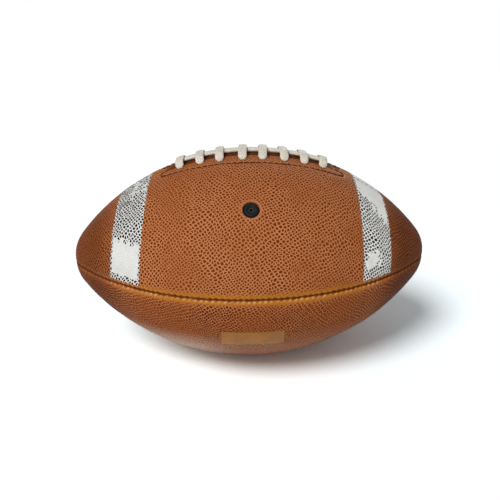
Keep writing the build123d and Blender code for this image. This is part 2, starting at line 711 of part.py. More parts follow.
PIECES = {
    "panel_front_upper": panel_front_upper,
    "panel_front_lower": panel_front_lower,
    "panel_back_lower": panel_back_lower,
    "panel_back_upper": panel_back_upper,
    "lining_front_upper": lining_front_upper,
    "lining_front_lower": lining_front_lower,
    "lining_back_lower": lining_back_lower,
    "lining_back_upper": lining_back_upper,
    "thread_seam_front": thread_seam_front,
    "thread_seam_bottom": thread_seam_bottom,
    "thread_seam_back": thread_seam_back,
    "thread_seam_lace_ends": thread_seam_lace_ends,
    "facing_front": facing_front,
    "facing_back": facing_back,
    "thread_facing_front": thread_facing_front,
    "thread_facing_back": thread_facing_back,
    "lace": lace,
    "tongue": tongue,
    "bladder": bladder,
    "valve_body": valve_body,
    "valve_core": valve_core,
    "label_film": label_film,
}

os.makedirs("parts", exist_ok=True)
for label, piece in PIECES.items():
    piece.part.label = label
    export_step(piece.part, f"parts/{label}.step")
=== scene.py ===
"""American football: its finished look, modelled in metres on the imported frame."""

import math

import bpy
import numpy as np
from bpy.props import FloatProperty, FloatVectorProperty, IntProperty, PointerProperty
from mathutils import Matrix, Vector


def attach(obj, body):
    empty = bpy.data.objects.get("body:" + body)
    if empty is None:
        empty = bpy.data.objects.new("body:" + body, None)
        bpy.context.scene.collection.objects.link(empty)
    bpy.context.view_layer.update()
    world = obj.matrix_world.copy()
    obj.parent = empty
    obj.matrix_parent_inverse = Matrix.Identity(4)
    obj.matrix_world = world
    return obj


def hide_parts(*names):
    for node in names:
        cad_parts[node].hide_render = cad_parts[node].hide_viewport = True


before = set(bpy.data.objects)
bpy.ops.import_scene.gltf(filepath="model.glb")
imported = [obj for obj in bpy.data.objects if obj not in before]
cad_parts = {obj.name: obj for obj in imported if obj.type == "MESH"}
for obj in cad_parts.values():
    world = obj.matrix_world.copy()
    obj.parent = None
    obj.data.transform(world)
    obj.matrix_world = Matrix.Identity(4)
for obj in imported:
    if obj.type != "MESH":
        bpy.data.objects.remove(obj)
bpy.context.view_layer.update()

bl_info = {
    "name": "American Football",
    "version": (1, 0, 0),
    "blender": (4, 5, 0),
    "location": "View3D > Sidebar > Football",
    "description": "Builds a laced leather football, piece by piece, and its studio",
    "category": "Object",
}

# Two points closer than this, in metres, are joined when a grid is closed into a skin
JOIN_DISTANCE = 1e-6
# Sharp edges are kept above this angle, in radians
SMOOTH_ANGLE = math.radians(50)
# A corner this close to straight, as half its angle in radians, isn't rounded
STRAIGHT = math.radians(88)
# Mesh steps round a corner of a route, and along the curved edge of a facing
CORNER_STEPS = 12
LEAF_STEPS = 40
# The curved edge of a facing stops this many corner radii before its end
CORNER_REACH = 1.6
# How far a place is from the edge of its cell, in a flat pattern of cells, and the cells' own colours
CELL_EDGES = {"feature": "DISTANCE_TO_EDGE", "voronoi_dimensions": "2D"}
CELL_COLOURS = {"voronoi_dimensions": "2D"}
# How far a slow flow bends the rows of pebbles, in metres, their turn, in radians, and their scatter
PEBBLE_FLOW = (0.0062, 0.0062, 0.0)
PEBBLE_TURN = 0.62
PEBBLE_SCATTER = 0.58
# Share of a cell, from its edge, over which the pressed pebble falls to its valley
PEBBLE_VALLEY = (0.28, 0.02)


# Settings


def size(name, description, default):
    """A length property, in metres."""
    return FloatProperty(name=name, description=description, default=default, unit="LENGTH", precision=5)


def share(name, description, default):
    """A plain number property between nought and one."""
    return FloatProperty(name=name, description=description, default=default, min=0, max=1)


def number(name, description, default):
    """A plain number property that is never below nought."""
    return FloatProperty(name=name, description=description, default=default, min=0)


def angle(name, description, default):
    """An angle property, in radians."""
    return FloatProperty(name=name, description=description, default=default, subtype="ANGLE")


def count(name, description, default):
    """A whole number property."""
    return IntProperty(name=name, description=description, default=default, min=2)


def lengths(name, description, default):
    """A property of several lengths, in metres."""
    return FloatVectorProperty(
        name=name, description=description, default=default, size=len(default), unit="LENGTH", precision=5
    )


def colour(name, description, default):
    """A linear colour property."""
    return FloatVectorProperty(
        name=name, description=description, default=default, size=3, min=0, max=1, subtype="COLOR"
    )


class BallSettings(bpy.types.PropertyGroup):
    """Size of the ball, its panels and seams."""

    length: size("Length", "From tip to tip", 0.286)
    diameter: size("Diameter", "Across the middle", 0.168)
    tip_radius: size("Tip radius", "Roundness of the two tips", 0.033)
    rest_flat: size("Rest flat", "How far the bottom is pressed flat", 0.0006)
    thickness: size("Panel thickness", "Leather of one panel", 0.002)
    allowance: size("Seam allowance", "How deep the panel edges turn in", 0.007)
    valley_width: size("Seam valley width", "From the seam to where the panel is full", 0.0019)
    valley_depth: size("Seam valley depth", "How far the panel edge rolls in", 0.0011)
    shoulder_width: size("Seam shoulder width", "Reach of the soft slope towards a seam", 0.0080)
    shoulder_depth: size("Seam shoulder depth", "Fall of the soft slope at the seam", 0.0005)
    pucker_pitch: size("Pucker pitch", "Stitch length along a seam", 0.0043)
    pucker_depth: size("Pucker depth", "How far each stitch pulls the edge in", 0.00055)
    ridge: size("Lace ridge", "How far the seam stands up under the lace", 0.0006)
    tip_gap: size("Tip gap", "Arc length left open at the middle of each tip", 0.0008)
    columns: count("Columns", "Mesh steps from tip to tip", 452)
    rows: count("Rows", "Mesh steps from seam to seam", 190)
    inner_rows: count("Inner rows", "Mesh steps inside a panel", 6)


class PebbleSettings(bpy.types.PropertyGroup):
    """Grain pressed into the leather."""

    pitch: size("Pitch", "Side of the square that one pebble takes up", 0.00233)
    lower: number("Lower", "How much finer the grain is on the lower panels", 1.06)
    height: size("Height", "From valley to top, in the finish", 0.00035)
    relief: size("Relief", "From valley to top, in the mesh", 0.00016)
    sag: size("Sag", "Slow waves in the leather", 0.00022)


class StripeSettings(bpy.types.PropertyGroup):
    """Painted stripes on the two upper panels."""

    inner: size("Inner edge", "From the middle of the ball", 0.0807)
    outer: size("Outer edge", "From the middle of the ball", 0.1042)
    seam_gap: size("Seam gap", "Bare leather left above the seam", 0.0032)
    reach: size("Reach", "Height of a stripe above the seam", 0.057)
    left_shift: lengths("Left shift", "Left stripe outwards, at the seam and on top", (0.0025, -0.0037))
    right_shift: lengths("Right shift", "Right stripe outwards, at the seam and on top", (0.0017, 0.0))


class LaceSettings(bpy.types.PropertyGroup):
    """The one strip of lace, laid lengthwise and wound in cross bars."""

    width: size("Width", "Width of the strip", 0.0066)
    thickness: size("Thickness", "Thickness of the strip", 0.0022)
    run_thickness: size("Run thickness", "Of the lengthwise run, drawn together under the bars", 0.0029)
    bar_thickness: size("Bar thickness", "Of a bar where it is pressed onto the run", 0.0013)
    edge_radius: size("Edge radius", "Roundness of the strip's edges", 0.00098)
    offset: size("Offset", "Middle of the lacing from the middle of the ball", 0.0024)
    pillow: share("Pillow", "How much thinner the strip is at its edges", 0.35)
    pinch: share("Pinch", "Width that is left where the strip goes into a slot", 0.62)
    round_end: size("Round end", "Height over which a bar's end narrows", 0.0014)
    bar_count: count("Bars", "Number of cross bars", 8)
    pitch: size("Pitch", "Spacing of the bars along the seam", 0.0155)
    sway: lengths(
        "Sway", "Small shift of each bar along the seam",
        (0.0, -0.0005, -0.0009, 0.0009, 0.0005, -0.0002, -0.0009, 0.0),
    )
    lean: lengths(
        "Lean", "Further shift of each bar's front end",
        (-0.0014, -0.0004, -0.0005, -0.0006, -0.0006, 0.0011, 0.0018, 0.0003),
    )
    span: size("Span", "Between the two slots of a middle bar", 0.026)
    end_span: size("End span", "Between the two slots of an end bar", 0.0176)
    bend: size("Bend radius", "Of the middle line where it dives", 0.0016)
    tuck: size("Tuck", "Lengthwise run past the end bars", 0.0026)
    clearance: size("Clearance", "Between a bar and the leather", 0.0001)
    run_clearance: size("Run clearance", "Between the lengthwise run and the plain form", 0.0012)
    crossing_gap: size("Crossing gap", "Between a bar's crown and the run", 0.0002)
    under_depth: size("Under depth", "Middle line of the hidden runs below the surface", 0.0087)
    slot_clearance: size("Slot clearance", "Round the strip in its slots", 0.0003)
    grain_pitch: size("Grain pitch", "Spacing of the pressed grip", 0.0016)
    grain_height: size("Grain height", "Depth of the pressed grip", 0.00016)
    step: size("Mesh step", "Mesh spacing along the strip", 0.00045)


class FacingSettings(bpy.types.PropertyGroup):
    """Leaf-shaped facings behind the lace holes and their stitch lines."""

    length: size("Length", "Along the seam", 0.149)
    half_width: size("Half width", "From the seam at the middle", 0.0237)
    end_half_width: size("End half width", "From the seam at the ends", 0.0167)
    corner: size("Corner radius", "Roundness of the corners", 0.0079)
    seam_gap: size("Seam gap", "From the seam to the near edge", 0.0005)
    margin: size("Stitch margin", "From the edge to the stitch line", 0.0045)
    stitch: size("Stitch length", "From hole to hole", 0.0045)
    thread: size("Thread", "Thread diameter", 0.0009)
    leg: size("Leg", "How deep a stitch goes into its holes", 0.0056)
    groove: size("Groove", "How far the stitches pull the leather in", 0.00050)


class ValveSettings(bpy.types.PropertyGroup):
    """The rubber inflation valve."""

    turn: angle("Turn", "From the top towards the front", math.radians(45))
    radius: size("Radius", "Of the round face", 0.006)
    recess: size("Recess", "Of the face below the leather", 0.0004)
    flange_radius: size("Flange radius", "Of the hidden flange", 0.009)
    flange_depth: size("Flange depth", "From the surface to the flange", 0.0045)
    flange_thickness: size("Flange thickness", "Of the hidden flange", 0.0015)
    flange_edge: size("Flange edge", "Bevel round the flange", 0.0003)
    stem_radius: size("Stem radius", "Of the hidden stem", 0.005)
    length: size("Length", "From the surface to the inner end", 0.018)
    core_radius: size("Core radius", "Of the core's seat", 0.00265)
    core_depth: size("Core depth", "From the surface to the core's seat", 0.00108)
    entry_radius: size("Entry radius", "Of the needle hole", 0.0017)
    dish_radius: size("Dish radius", "Of the dish round the hole", 0.0027)
    clearance: size("Clearance", "Between the leather and the valve", 0.0002)


class LabelSettings(bpy.types.PropertyGroup):
    """The blank film on the front lower panel."""

    length: size("Length", "Along the ball", 0.047)
    height: size("Height", "Round the ball", 0.0235)
    thickness: size("Thickness", "Of the film", 0.0002)
    lift: size("Lift", "Of its underside above the mean surface", 0.00018)
    field: lengths("Field", "Height over the seam where the tint starts and is full", (-0.0455, -0.0425))
    turn: angle("Turn", "From the top towards the front", math.radians(118))


class ColourSettings(bpy.types.PropertyGroup):
    """Linear colours of the finishes."""

    pebble_top: colour("Pebble top", "Leather on the pebbles", (0.120, 0.022, 0.001))
    pebble_lower: colour("Lower pebble top", "The same on the lower panels", (0.075, 0.013, 0.0006))
    pebble_valley: colour("Pebble valley", "Leather between the pebbles", (0.545, 0.200, 0.078))
    ruddy: colour("Ruddy", "Redder clouds in the leather", (0.29, 0.070, 0.014))
    ochre: colour("Ochre", "Smooth leather beside the seams", (0.44, 0.155, 0.013))
    # Painted highlight: light caught by the puckers, mostly below the side seams
    pucker: colour("Pucker", "Rubbed leather on the puckers", (0.70, 0.36, 0.16))
    # Also painted shade: the right tip takes this colour once more, as it is turned from the light
    tip: colour("Tip", "How handling darkens the leather at the tips", (0.48, 0.40, 0.30))
    # Painted reflection of the bright floor along the underside
    floor_sheen: colour("Floor_sheen", "Rubbed leather along the underside", (0.80, 0.62, 0.50))
    # Also painted shade: the leather beside the lace takes this colour
    seam: colour("Seam", "Dirt in the seams", (0.090, 0.018, 0.002))
    paint: colour("Paint", "Paint of the left stripe", (0.74, 0.74, 0.715))
    # The right stripe's paint is whiter than the left's
    whiter_paint: colour("Fresh paint", "Paint of the right stripe, which is less soiled", (0.90, 0.90, 0.87))
    worn: colour("Worn paint", "Pebbles that show through the paint", (0.014, 0.009, 0.007))
    smudge: colour("Smudge", "Marks on the paint", (0.10, 0.095, 0.09))
    lace: colour("Lace", "Lace on the grain", (0.74, 0.70, 0.615))
    lace_shade: colour("Lace grain", "Lace between the grain", (0.50, 0.445, 0.365))
    stitch: colour("Stitch", "Facing thread", (0.034, 0.009, 0.003))
    rubber: colour("Rubber", "Valve rubber", (0.006, 0.007, 0.0085))
    dust: colour("Dust", "Dust on the rubber", (0.06, 0.055, 0.05))
    film: colour("Film", "Clear film with a warm tint", (0.335, 0.130, 0.012))


class StageSettings(bpy.types.PropertyGroup):
    """Camera and studio light."""

    distance: size("Distance", "From the camera to the middle of the ball", 0.5)
    elevation: angle("Elevation", "Camera above the ball", math.radians(24.2))
    yaw: angle("Yaw", "Camera to the left", 0.020)
    drop: angle("Drop", "Aim below the ball", 0.045)
    roll: angle("Roll", "Lifts the right side", 0.010)
    lens: number("Lens", "Focal length in millimetres", 43.34)
    shift: FloatProperty(name="Shift", description="Upward lens shift", default=0.059)
    top: number("Top", "Strength of the overhead light", 1.35)
    front: number("Front", "Strength of the light beside the camera", 1.7)
    back: number("Back", "Strength of the light behind the ball", 0.8)
    fill: number("Fill", "Strength of the room light", 0.18)
    floor_white: FloatVectorProperty(
        name="Floor white", description="What the floor adds where it is seen directly", size=3, min=0,
        default=(1.06, 1.23, 1.29),
    )


class FootballSettings(bpy.types.PropertyGroup):
    """All the settings of the model."""

    ball: PointerProperty(name="Ball", description="Ball and seams", type=BallSettings)
    pebble: PointerProperty(name="Pebble", description="Leather grain", type=PebbleSettings)
    stripe: PointerProperty(name="Stripe", description="Painted stripes", type=StripeSettings)
    lace: PointerProperty(name="Lace", description="Lace", type=LaceSettings)
    facing: PointerProperty(name="Facing", description="Facings", type=FacingSettings)
    valve: PointerProperty(name="Valve", description="Valve", type=ValveSettings)
    label: PointerProperty(name="Label", description="Blank film", type=LabelSettings)
    colours: PointerProperty(name="Colours", description="Colours", type=ColourSettings)
    stage: PointerProperty(name="Stage", description="Studio", type=StageSettings)


# Ball form


class BallForm:
    """The turned profile: one long side arc and two round tips, for arrays of places on it."""

    def __init__(self, ball):
        self.radius = ball.diameter / 2
        self.tip = ball.tip_radius
        self.tip_centre = ball.length / 2 - self.tip
        self.side = (self.tip_centre**2 + self.radius**2 - self.tip**2) / (2 * (self.radius - self.tip))
        self.drop = self.side - self.radius
        self.side_turn = math.atan2(self.tip_centre, self.drop)
        self.side_arc = self.side * self.side_turn
        self.half_arc = self.side_arc + self.tip * (math.pi / 2 - self.side_turn)
        self.centre = self.radius - ball.rest_flat

    def profile(self, arc):
        """Place along the axis, radius and lean of the normal at this arc length from the middle."""
        reach = np.abs(arc)
        on_side = reach < self.side_arc
        lean = np.where(on_side, reach / self.side, self.side_turn + (reach - self.side_arc) / self.tip)
        x = np.where(on_side, self.side * np.sin(lean), self.tip_centre + self.tip * np.sin(lean))
        radius = np.where(on_side, self.side * np.cos(lean) - self.drop, self.tip * np.cos(lean))
        return np.sign(arc) * x, radius, np.sign(arc) * lean

    def place(self, arc, turn, height):
        """Points at these arc lengths, turns from the top towards the front and heights."""
        x, radius, lean = self.profile(arc)
        out = radius + height * np.cos(lean)
        x = x + height * np.sin(lean)
        parts = np.broadcast_arrays(x, -np.sin(turn) * out, self.centre + np.cos(turn) * out)
        return np.stack(parts, axis=-1)

    def locate(self, points):
        """Arc length, turn and depth below the surface of points."""
        x, y, z = np.abs(points[:, 0]), points[:, 1], points[:, 2] - self.centre
        radius = np.hypot(y, z)
        side_lean = np.arctan2(x, radius + self.drop)
        tip_lean = np.arctan2(x - self.tip_centre, radius)
        on_side = side_lean < self.side_turn
        tip_arc = self.side_arc + self.tip * (tip_lean - self.side_turn)
        arc = np.where(on_side, self.side * side_lean, tip_arc)
        side_depth = self.side - np.hypot(x, radius + self.drop)
        depth = np.where(on_side, side_depth, self.tip - np.hypot(x - self.tip_centre, radius))
        return np.sign(points[:, 0]) * arc, np.arctan2(-y, z), depth

    def lace_frame(self, arc):
        """Origin, direction along the seam and direction outwards on the top seam."""
        lean = arc / self.side
        outwards = np.array([math.sin(lean), 0.0, math.cos(lean)])
        along = np.array([math.cos(lean), 0.0, -math.sin(lean)])
        return np.array([0, 0, self.centre - self.drop]) + self.side * outwards, along, outwards


def smooth_step(value, low, high):
    """Nought below low, one above high and a smooth rise between; falls where low is above high."""
    reach = np.clip((value - low) / (high - low), 0, 1)
    return reach * reach * (3 - 2 * reach)


def cell_borders(along, across, span, grain, seed):
    """How much further the second nearest of a jittered lattice of points is than the nearest."""
    pitch, jitter = grain
    row_pitch = pitch * math.sqrt(3) / 2
    width = span / max(1, round(span / pitch))
    first_row = np.floor(along / row_pitch)
    lowest = int(first_row.min()) - 2
    tall = int(first_row.max()) - lowest + 4
    wide = int(span / pitch) + 6
    # Each point draws three numbers: two move it, and the third is spare
    scatter = np.random.default_rng(seed).random((tall, wide, 3))
    nearest = np.full(along.shape, np.inf)
    second = np.full(along.shape, np.inf)
    for row_step in (-1, 0, 1):
        row = first_row + row_step
        line = (row + 0.5) * row_pitch
        offset = 0.5 * np.mod(row, 2)
        column = np.floor(across / width - offset)
        for column_step in (-1, 0, 1):
            place = column + column_step
            chance = scatter[(row - lowest).astype(int), np.mod(place, wide).astype(int)]
            away = line + jitter * (chance[:, 0] - 0.5) * pitch - along
            aside = (place + 0.5 + offset + jitter * (chance[:, 1] - 0.5)) * width - across
            distance = np.hypot(away, aside)
            second = np.where(distance < nearest, nearest, np.minimum(second, distance))
            nearest = np.minimum(distance, nearest)
    return second - nearest


# Mesh helpers


def read_points(piece):
    """The mesh points of a piece as an array."""
    points = np.empty(len(piece.data.vertices) * 3, dtype=np.float32)
    piece.data.vertices.foreach_get("co", points)
    return points.reshape(-1, 3).astype(float)


def write_points(piece, points):
    """Put the mesh points of a piece in these places."""
    piece.data.vertices.foreach_set("co", np.asarray(points, dtype=np.float32).ravel())
    piece.data.update()


def write_attribute(piece, name, values):
    """Store one number for each mesh point."""
    attribute = piece.data.attributes.new(name, "FLOAT", "POINT")
    attribute.data.foreach_set("value", np.asarray(values, dtype=np.float32))


def pick(piece):
    """Make this the only selected object, and the active one."""
    bpy.ops.object.select_all(action="DESELECT")
    piece.select_set(True)
    bpy.context.view_layer.objects.active = piece


def shade(piece):
    """Smooth shading, with sharp edges kept."""
    pick(piece)
    bpy.ops.object.shade_smooth_by_angle(angle=SMOOTH_ANGLE)


def grid_skin(name, rings):
    """A closed skin through rows of rings: a grid laid on them, joined round and closed at its ends."""
    rows, columns = rings.shape[:2]
    bpy.ops.object.select_all(action="DESELECT")
    bpy.ops.mesh.primitive_grid_add(x_subdivisions=rows - 1, y_subdivisions=columns - 1, size=1)
    piece = bpy.context.object
    piece.name = name
    piece.data.name = name
    flat = read_points(piece)
    row = np.rint((flat[:, 0] + 0.5) * (rows - 1)).astype(int)
    column = np.rint((flat[:, 1] + 0.5) * (columns - 1)).astype(int)
    write_points(piece, rings[row, column])
    bpy.ops.object.mode_set(mode="EDIT")
    bpy.ops.mesh.select_all(action="SELECT")
    bpy.ops.mesh.remove_doubles(threshold=JOIN_DISTANCE)
    bpy.ops.mesh.select_all(action="SELECT")
    bpy.ops.mesh.fill_holes(sides=0)
    bpy.ops.mesh.select_all(action="SELECT")
    bpy.ops.mesh.normals_make_consistent(inside=False)
    bpy.ops.object.mode_set(mode="OBJECT")
    return piece


def cut(piece, cutters):
    """Take the joined cutters out of a piece."""
    bpy.ops.object.select_all(action="DESELECT")
    for cutter in cutters:
        cutter.select_set(True)
    bpy.context.view_layer.objects.active = cutters[0]
    if len(cutters) > 1:
        bpy.ops.object.join()
    pick(piece)
    bpy.ops.object.modifier_add(type="BOOLEAN")
    modifier = piece.modifiers[-1]
    modifier.operation = "DIFFERENCE"
    modifier.solver = "EXACT"
    modifier.object = cutters[0]
    bpy.ops.object.modifier_apply(modifier=modifier.name)
    bpy.data.objects.remove(cutters[0], do_unlink=True)


def run_lengths(line):
    """Length along a line from its start to each of its points."""
    return np.concatenate([[0], np.cumsum(np.linalg.norm(np.diff(line, axis=0), axis=1))])


def rounded_route(points, radii, step, guides=None):
    """Evenly spaced points along a line whose corners are rounded, and the guides blended along it."""
    points = np.asarray(points, dtype=float)
    guides = points if guides is None else np.asarray(guides, dtype=float)
    line, carried = [points[0]], [guides[0]]
    for index in range(1, len(points) - 1):
        corner, radius = points[index], radii[index]
        back = points[index - 1] - corner
        ahead = points[index + 1] - corner
        back, ahead = back / np.linalg.norm(back), ahead / np.linalg.norm(ahead)
        half = math.acos(np.clip(back @ ahead, -1, 1)) / 2
        if radius == 0 or half > STRAIGHT:
            line.append(corner)
            carried.append(guides[index])
            continue
        middle = back + ahead
        centre = corner + middle / np.linalg.norm(middle) * radius / math.sin(half)
        start = corner + back * radius / math.tan(half) - centre
        end = corner + ahead * radius / math.tan(half) - centre
        swing = math.pi - 2 * half
        for part in np.linspace(0, 1, CORNER_STEPS + 1):
            blend = math.sin((1 - part) * swing) * start + math.sin(part * swing) * end
            line.append(centre + blend / math.sin(swing))
            carried.append(guides[index])
    line.append(points[-1])
    carried.append(guides[-1])
    run = run_lengths(np.array(line))
    even = np.linspace(0, run[-1], max(2, round(run[-1] / step) + 1))

    def evened(values):
        return np.stack([np.interp(even, run, column) for column in np.array(values).T], axis=1)

    return evened(line), evened(carried), even


def strip_rings(route, across, section, scales):
    """Rings of a flat section carried along a route, scaled in width and thickness, width across."""
    tangent = np.gradient(route, axis=0)
    tangent /= np.linalg.norm(tangent, axis=1, keepdims=True)
    across = across - tangent * np.sum(across * tangent, axis=1, keepdims=True)
    across /= np.linalg.norm(across, axis=1, keepdims=True)
    outwards = np.cross(across, tangent)
    places = scales[:, None, :] * section[None, :, :]
    wide = across[:, None, :] * places[:, :, :1]
    return route[:, None, :] + wide + outwards[:, None, :] * places[:, :, 1:], outwards, across


def rounded_section(width, thickness, radius, step):
    """A closed rounded oblong, starting and ending in the middle of its underside."""
    half, deep = width / 2, thickness / 2
    corners = [(half, -deep, 0), (half, deep, 0), (-half, deep, 0), (-half, -deep, 0)]
    ends = [(0, -deep, 0)]
    points, _, _ = rounded_route(ends + corners + ends, [0] + [radius] * len(corners) + [0], step)
    return points[:, :2]


def leaf_line(facing, step):
    """Points in plan along the stitch line of the back facing."""
    rise = facing.half_width - facing.end_half_width
    half_length = facing.length / 2
    radius = (rise**2 + half_length**2) / (2 * rise) - facing.margin
    middle = facing.half_width - facing.margin - radius
    half_length -= facing.margin
    near = facing.seam_gap + facing.margin
    far_x = np.linspace(half_length, -half_length, LEAF_STEPS + 1)
    far_y = middle + np.sqrt(radius**2 - far_x**2)
    points = [(0, near, 0), (half_length, near, 0)]
    points += [(x, y, 0) for x, y in zip(far_x, far_y)]
    points += [(-half_length, near, 0), (0, near, 0)]
    corner = facing.corner - facing.margin
    radii = [0, corner, corner] + [0] * (len(far_x) - 2) + [corner, corner, 0]
    plain = half_length - corner * CORNER_REACH
    kept = [index for index, (x, _, _) in enumerate(points) if radii[index] or abs(x) <= plain]
    line, _, run = rounded_route([points[index] for index in kept], [radii[index] for index in kept], step)
    return line[:, :2], run


def stitch_holes(facing):
    """Places in plan of the holes along the stitch line of the back facing."""
    line, run = leaf_line(facing, facing.thread / 4)
    places = np.linspace(0, run[-1], round(run[-1] / facing.stitch), endpoint=False)
    return np.stack([np.interp(places, run, line[:, axis]) for axis in (0, 1)], axis=1)


# Materials


class Board:
    """Lays nodes in a node tree."""

    def __init__(self, tree):
        self.tree = tree
        self.tree.nodes.clear()

    def node(self, kind, settings=None, inputs=None):
        """A new node with these settings and inputs, which are values or sockets."""
        node = self.tree.nodes.new(kind)
        for name, value in (settings or {}).items():
            setattr(node, name, value)
        for name, value in (inputs or {}).items():
            self.feed(node.inputs[name], value)
        return node

    def feed(self, socket, value):
        """Set or link one input."""
        if isinstance(value, bpy.types.NodeSocket):
            self.tree.links.new(value, socket)
        elif isinstance(value, (int, float, str)):
            socket.default_value = value
        else:
            full = tuple(value)
            if len(full) < len(socket.default_value):
                full += (1.0,)
            socket.default_value = full

    def math(self, operation, *values):
        """One sum."""
        node = self.node("ShaderNodeMath", {"operation": operation}, dict(enumerate(values)))
        return node.outputs[0]

    def times(self, first, *others):
        """The product of values."""
        for value in others:
            first = self.math("MULTIPLY", first, value)
        return first

    def swing(self, noise, reach):
        """Noise moved to both sides of nought, over this reach."""
        return self.times(self.math("SUBTRACT", noise, 0.5), reach)

    def vector(self, operation, inputs):
        """One sum with vectors, as a node."""
        return self.node("ShaderNodeVectorMath", {"operation": operation}, inputs)

    def pair(self, first, second):
        """A flat vector of two values."""
        return self.node("ShaderNodeCombineXYZ", {}, {0: first, 1: second}).outputs[0]

    def smooth(self, value, low, high):
        """A smooth step between two values."""
        inputs = {"Value": value, "From Min": low, "From Max": high}
        return self.node("ShaderNodeMapRange", {"interpolation_type": "SMOOTHSTEP"}, inputs).outputs["Result"]

    def spread(self, value, low, high):
        """Nought to one spread over another range."""
        inputs = {"Value": value, "To Min": low, "To Max": high}
        return self.node("ShaderNodeMapRange", {}, inputs).outputs["Result"]

    def mix(self, factor, first, second, blend="MIX"):
        """A blend of two colours."""
        settings = {"data_type": "RGBA", "blend_type": blend}
        node = self.node("ShaderNodeMix", settings, {0: factor, 6: first, 7: second})
        return node.outputs[2]

    def noise(self, vector, scale, detail=2.0, roughness=0.5):
        """Plain noise."""
        inputs = {"Vector": vector, "Scale": scale, "Detail": detail, "Roughness": roughness}
        return self.node("ShaderNodeTexNoise", {}, inputs).outputs[0]

    def attribute(self, name):
        """A number stored on the mesh."""
        return self.node("ShaderNodeAttribute", {"attribute_name": name}).outputs["Fac"]

    def place(self):
        """The place on the object."""
        return self.node("ShaderNodeTexCoord").outputs["Object"]

    def parts(self, vector):
        """The three parts of a vector."""
        return self.node("ShaderNodeSeparateXYZ", {}, {0: vector}).outputs[:]

    def group(self, tree, inputs):
        """A shared node group."""
        return self.node("ShaderNodeGroup", {"node_tree": tree}, inputs).outputs

    def bump(self, height, strength, distance):
        """A normal from a height."""
        inputs = {"Strength": strength, "Distance": distance, "Height": height}
        return self.node("ShaderNodeBump", {}, inputs).outputs[0]

    def seen(self):
        """One for rays from the camera, straight or by a reflection or through glass."""
        path = self.node("ShaderNodeLightPath").outputs
        direct = self.math("MAXIMUM", path["Is Camera Ray"], path["Is Glossy Ray"])
        return self.math("MAXIMUM", direct, path["Is Transmission Ray"])

    def surface(self, **inputs):
        """The surface shader and the output; underscores in names stand for spaces."""
        named = {name.replace("_", " "): value for name, value in inputs.items()}
        shader = self.node("ShaderNodeBsdfPrincipled", {}, named)
        self.node("ShaderNodeOutputMaterial", {}, {"Surface": shader.outputs[0]})


def material_board(name):
    """A new material and the board of its nodes."""
    material = bpy.data.materials.new(name)
    material.use_nodes = True
    return material, Board(material.node_tree)


def shared_group(name, inputs, outputs):
    """A new node group with float or vector inputs and float outputs, and its board and ends."""
    tree = bpy.data.node_groups.new(name, "ShaderNodeTree")
    for socket, kind, default in inputs:
        made = tree.interface.new_socket(socket, in_out="INPUT", socket_type=kind)
        if default is not None:
            made.default_value = default
    for socket in outputs:
        tree.interface.new_socket(socket, in_out="OUTPUT", socket_type="NodeSocketFloat")
    board = Board(tree)
    return tree, board, board.node("NodeGroupInput").outputs, board.node("NodeGroupOutput").inputs


def grain_group():
    """Fine pores and creases, as a height."""
    if "fine_grain" in bpy.data.node_groups:
        return bpy.data.node_groups["fine_grain"]
    inputs = [("Vector", "NodeSocketVector", None), ("Scale", "NodeSocketFloat", 1800.0)]
    tree, board, given, result = shared_group("fine_grain", inputs, ["Height"])
    pores = board.noise(given["Vector"], given["Scale"], 3.0, 0.6)
    creases = board.noise(given["Vector"], board.times(given["Scale"], 0.32), 2.0, 0.55)
    board.feed(result["Height"], board.math("ADD", board.times(pores, 0.6), creases))
    return tree


def grime_group():
    """Uneven handling dirt, as a mask."""
    if "grime" in bpy.data.node_groups:
        return bpy.data.node_groups["grime"]
    inputs = [("Vector", "NodeSocketVector", None), ("Scale", "NodeSocketFloat", 60.0)]
    tree, board, given, result = shared_group("grime", inputs, ["Mask"])
    clouds = board.noise(given["Vector"], given["Scale"], 5.0, 0.62)
    specks = board.noise(given["Vector"], board.times(given["Scale"], 11.0), 2.0, 0.5)
    total = board.math("ADD", board.times(clouds, 0.75), board.times(specks, 0.25))
    board.feed(result["Mask"], board.smooth(total, 0.42, 0.66))
    return tree


def pebble_cells(board, pebble, place, along, across):
    """Inputs of the cells that the pebbles fill: the lay of a panel, bent by a slow flow and turned."""
    slow = {"Vector": place, "Scale": 52.0, "Detail": 0.0}
    flow = board.node("ShaderNodeTexNoise", {}, slow).outputs["Color"]
    bent = board.vector("MULTIPLY_ADD", {0: flow, 1: PEBBLE_FLOW, 2: board.pair(along, across)}).outputs[0]
    turn = {"Vector": bent, "Angle": PEBBLE_TURN}
    turned = board.node("ShaderNodeVectorRotate", {"rotation_type": "Z_AXIS"}, turn).outputs[0]
    return {"Vector": turned, "Scale": 1 / pebble.pitch, "Randomness": PEBBLE_SCATTER}


def pebble_relief(settings):
    """Geometry nodes that press the grain into a panel, in the same cells as its colour."""
    if "pebble_relief" in bpy.data.node_groups:
        return bpy.data.node_groups["pebble_relief"]
    tree = bpy.data.node_groups.new("pebble_relief", "GeometryNodeTree")
    for way in ("INPUT", "OUTPUT"):
        tree.interface.new_socket("Geometry", in_out=way, socket_type="NodeSocketGeometry")
    board = Board(tree)
    panel = board.node("NodeGroupInput").outputs["Geometry"]
    stored = [
        board.node("GeometryNodeInputNamedAttribute", {"data_type": "FLOAT"}, {"Name": name})
        for name in ("along", "round", "raised")
    ]
    along, across, raised = [node.outputs["Attribute"] for node in stored]
    place = board.node("GeometryNodeInputPosition").outputs[0]
    cells = pebble_cells(board, settings.pebble, place, along, across)
    edge = board.node("ShaderNodeTexVoronoi", CELL_EDGES, cells).outputs["Distance"]
    depth = board.times(board.smooth(edge, *PEBBLE_VALLEY), raised, -settings.pebble.relief)
    outwards = board.node("GeometryNodeInputNormal").outputs[0]
    offset = board.vector("SCALE", {0: outwards, "Scale": depth}).outputs[0]
    pressed = board.node("GeometryNodeSetPosition", {}, {"Geometry": panel, "Offset": offset}).outputs[0]
    board.node("NodeGroupOutput", {}, {"Geometry": pressed})
    return tree


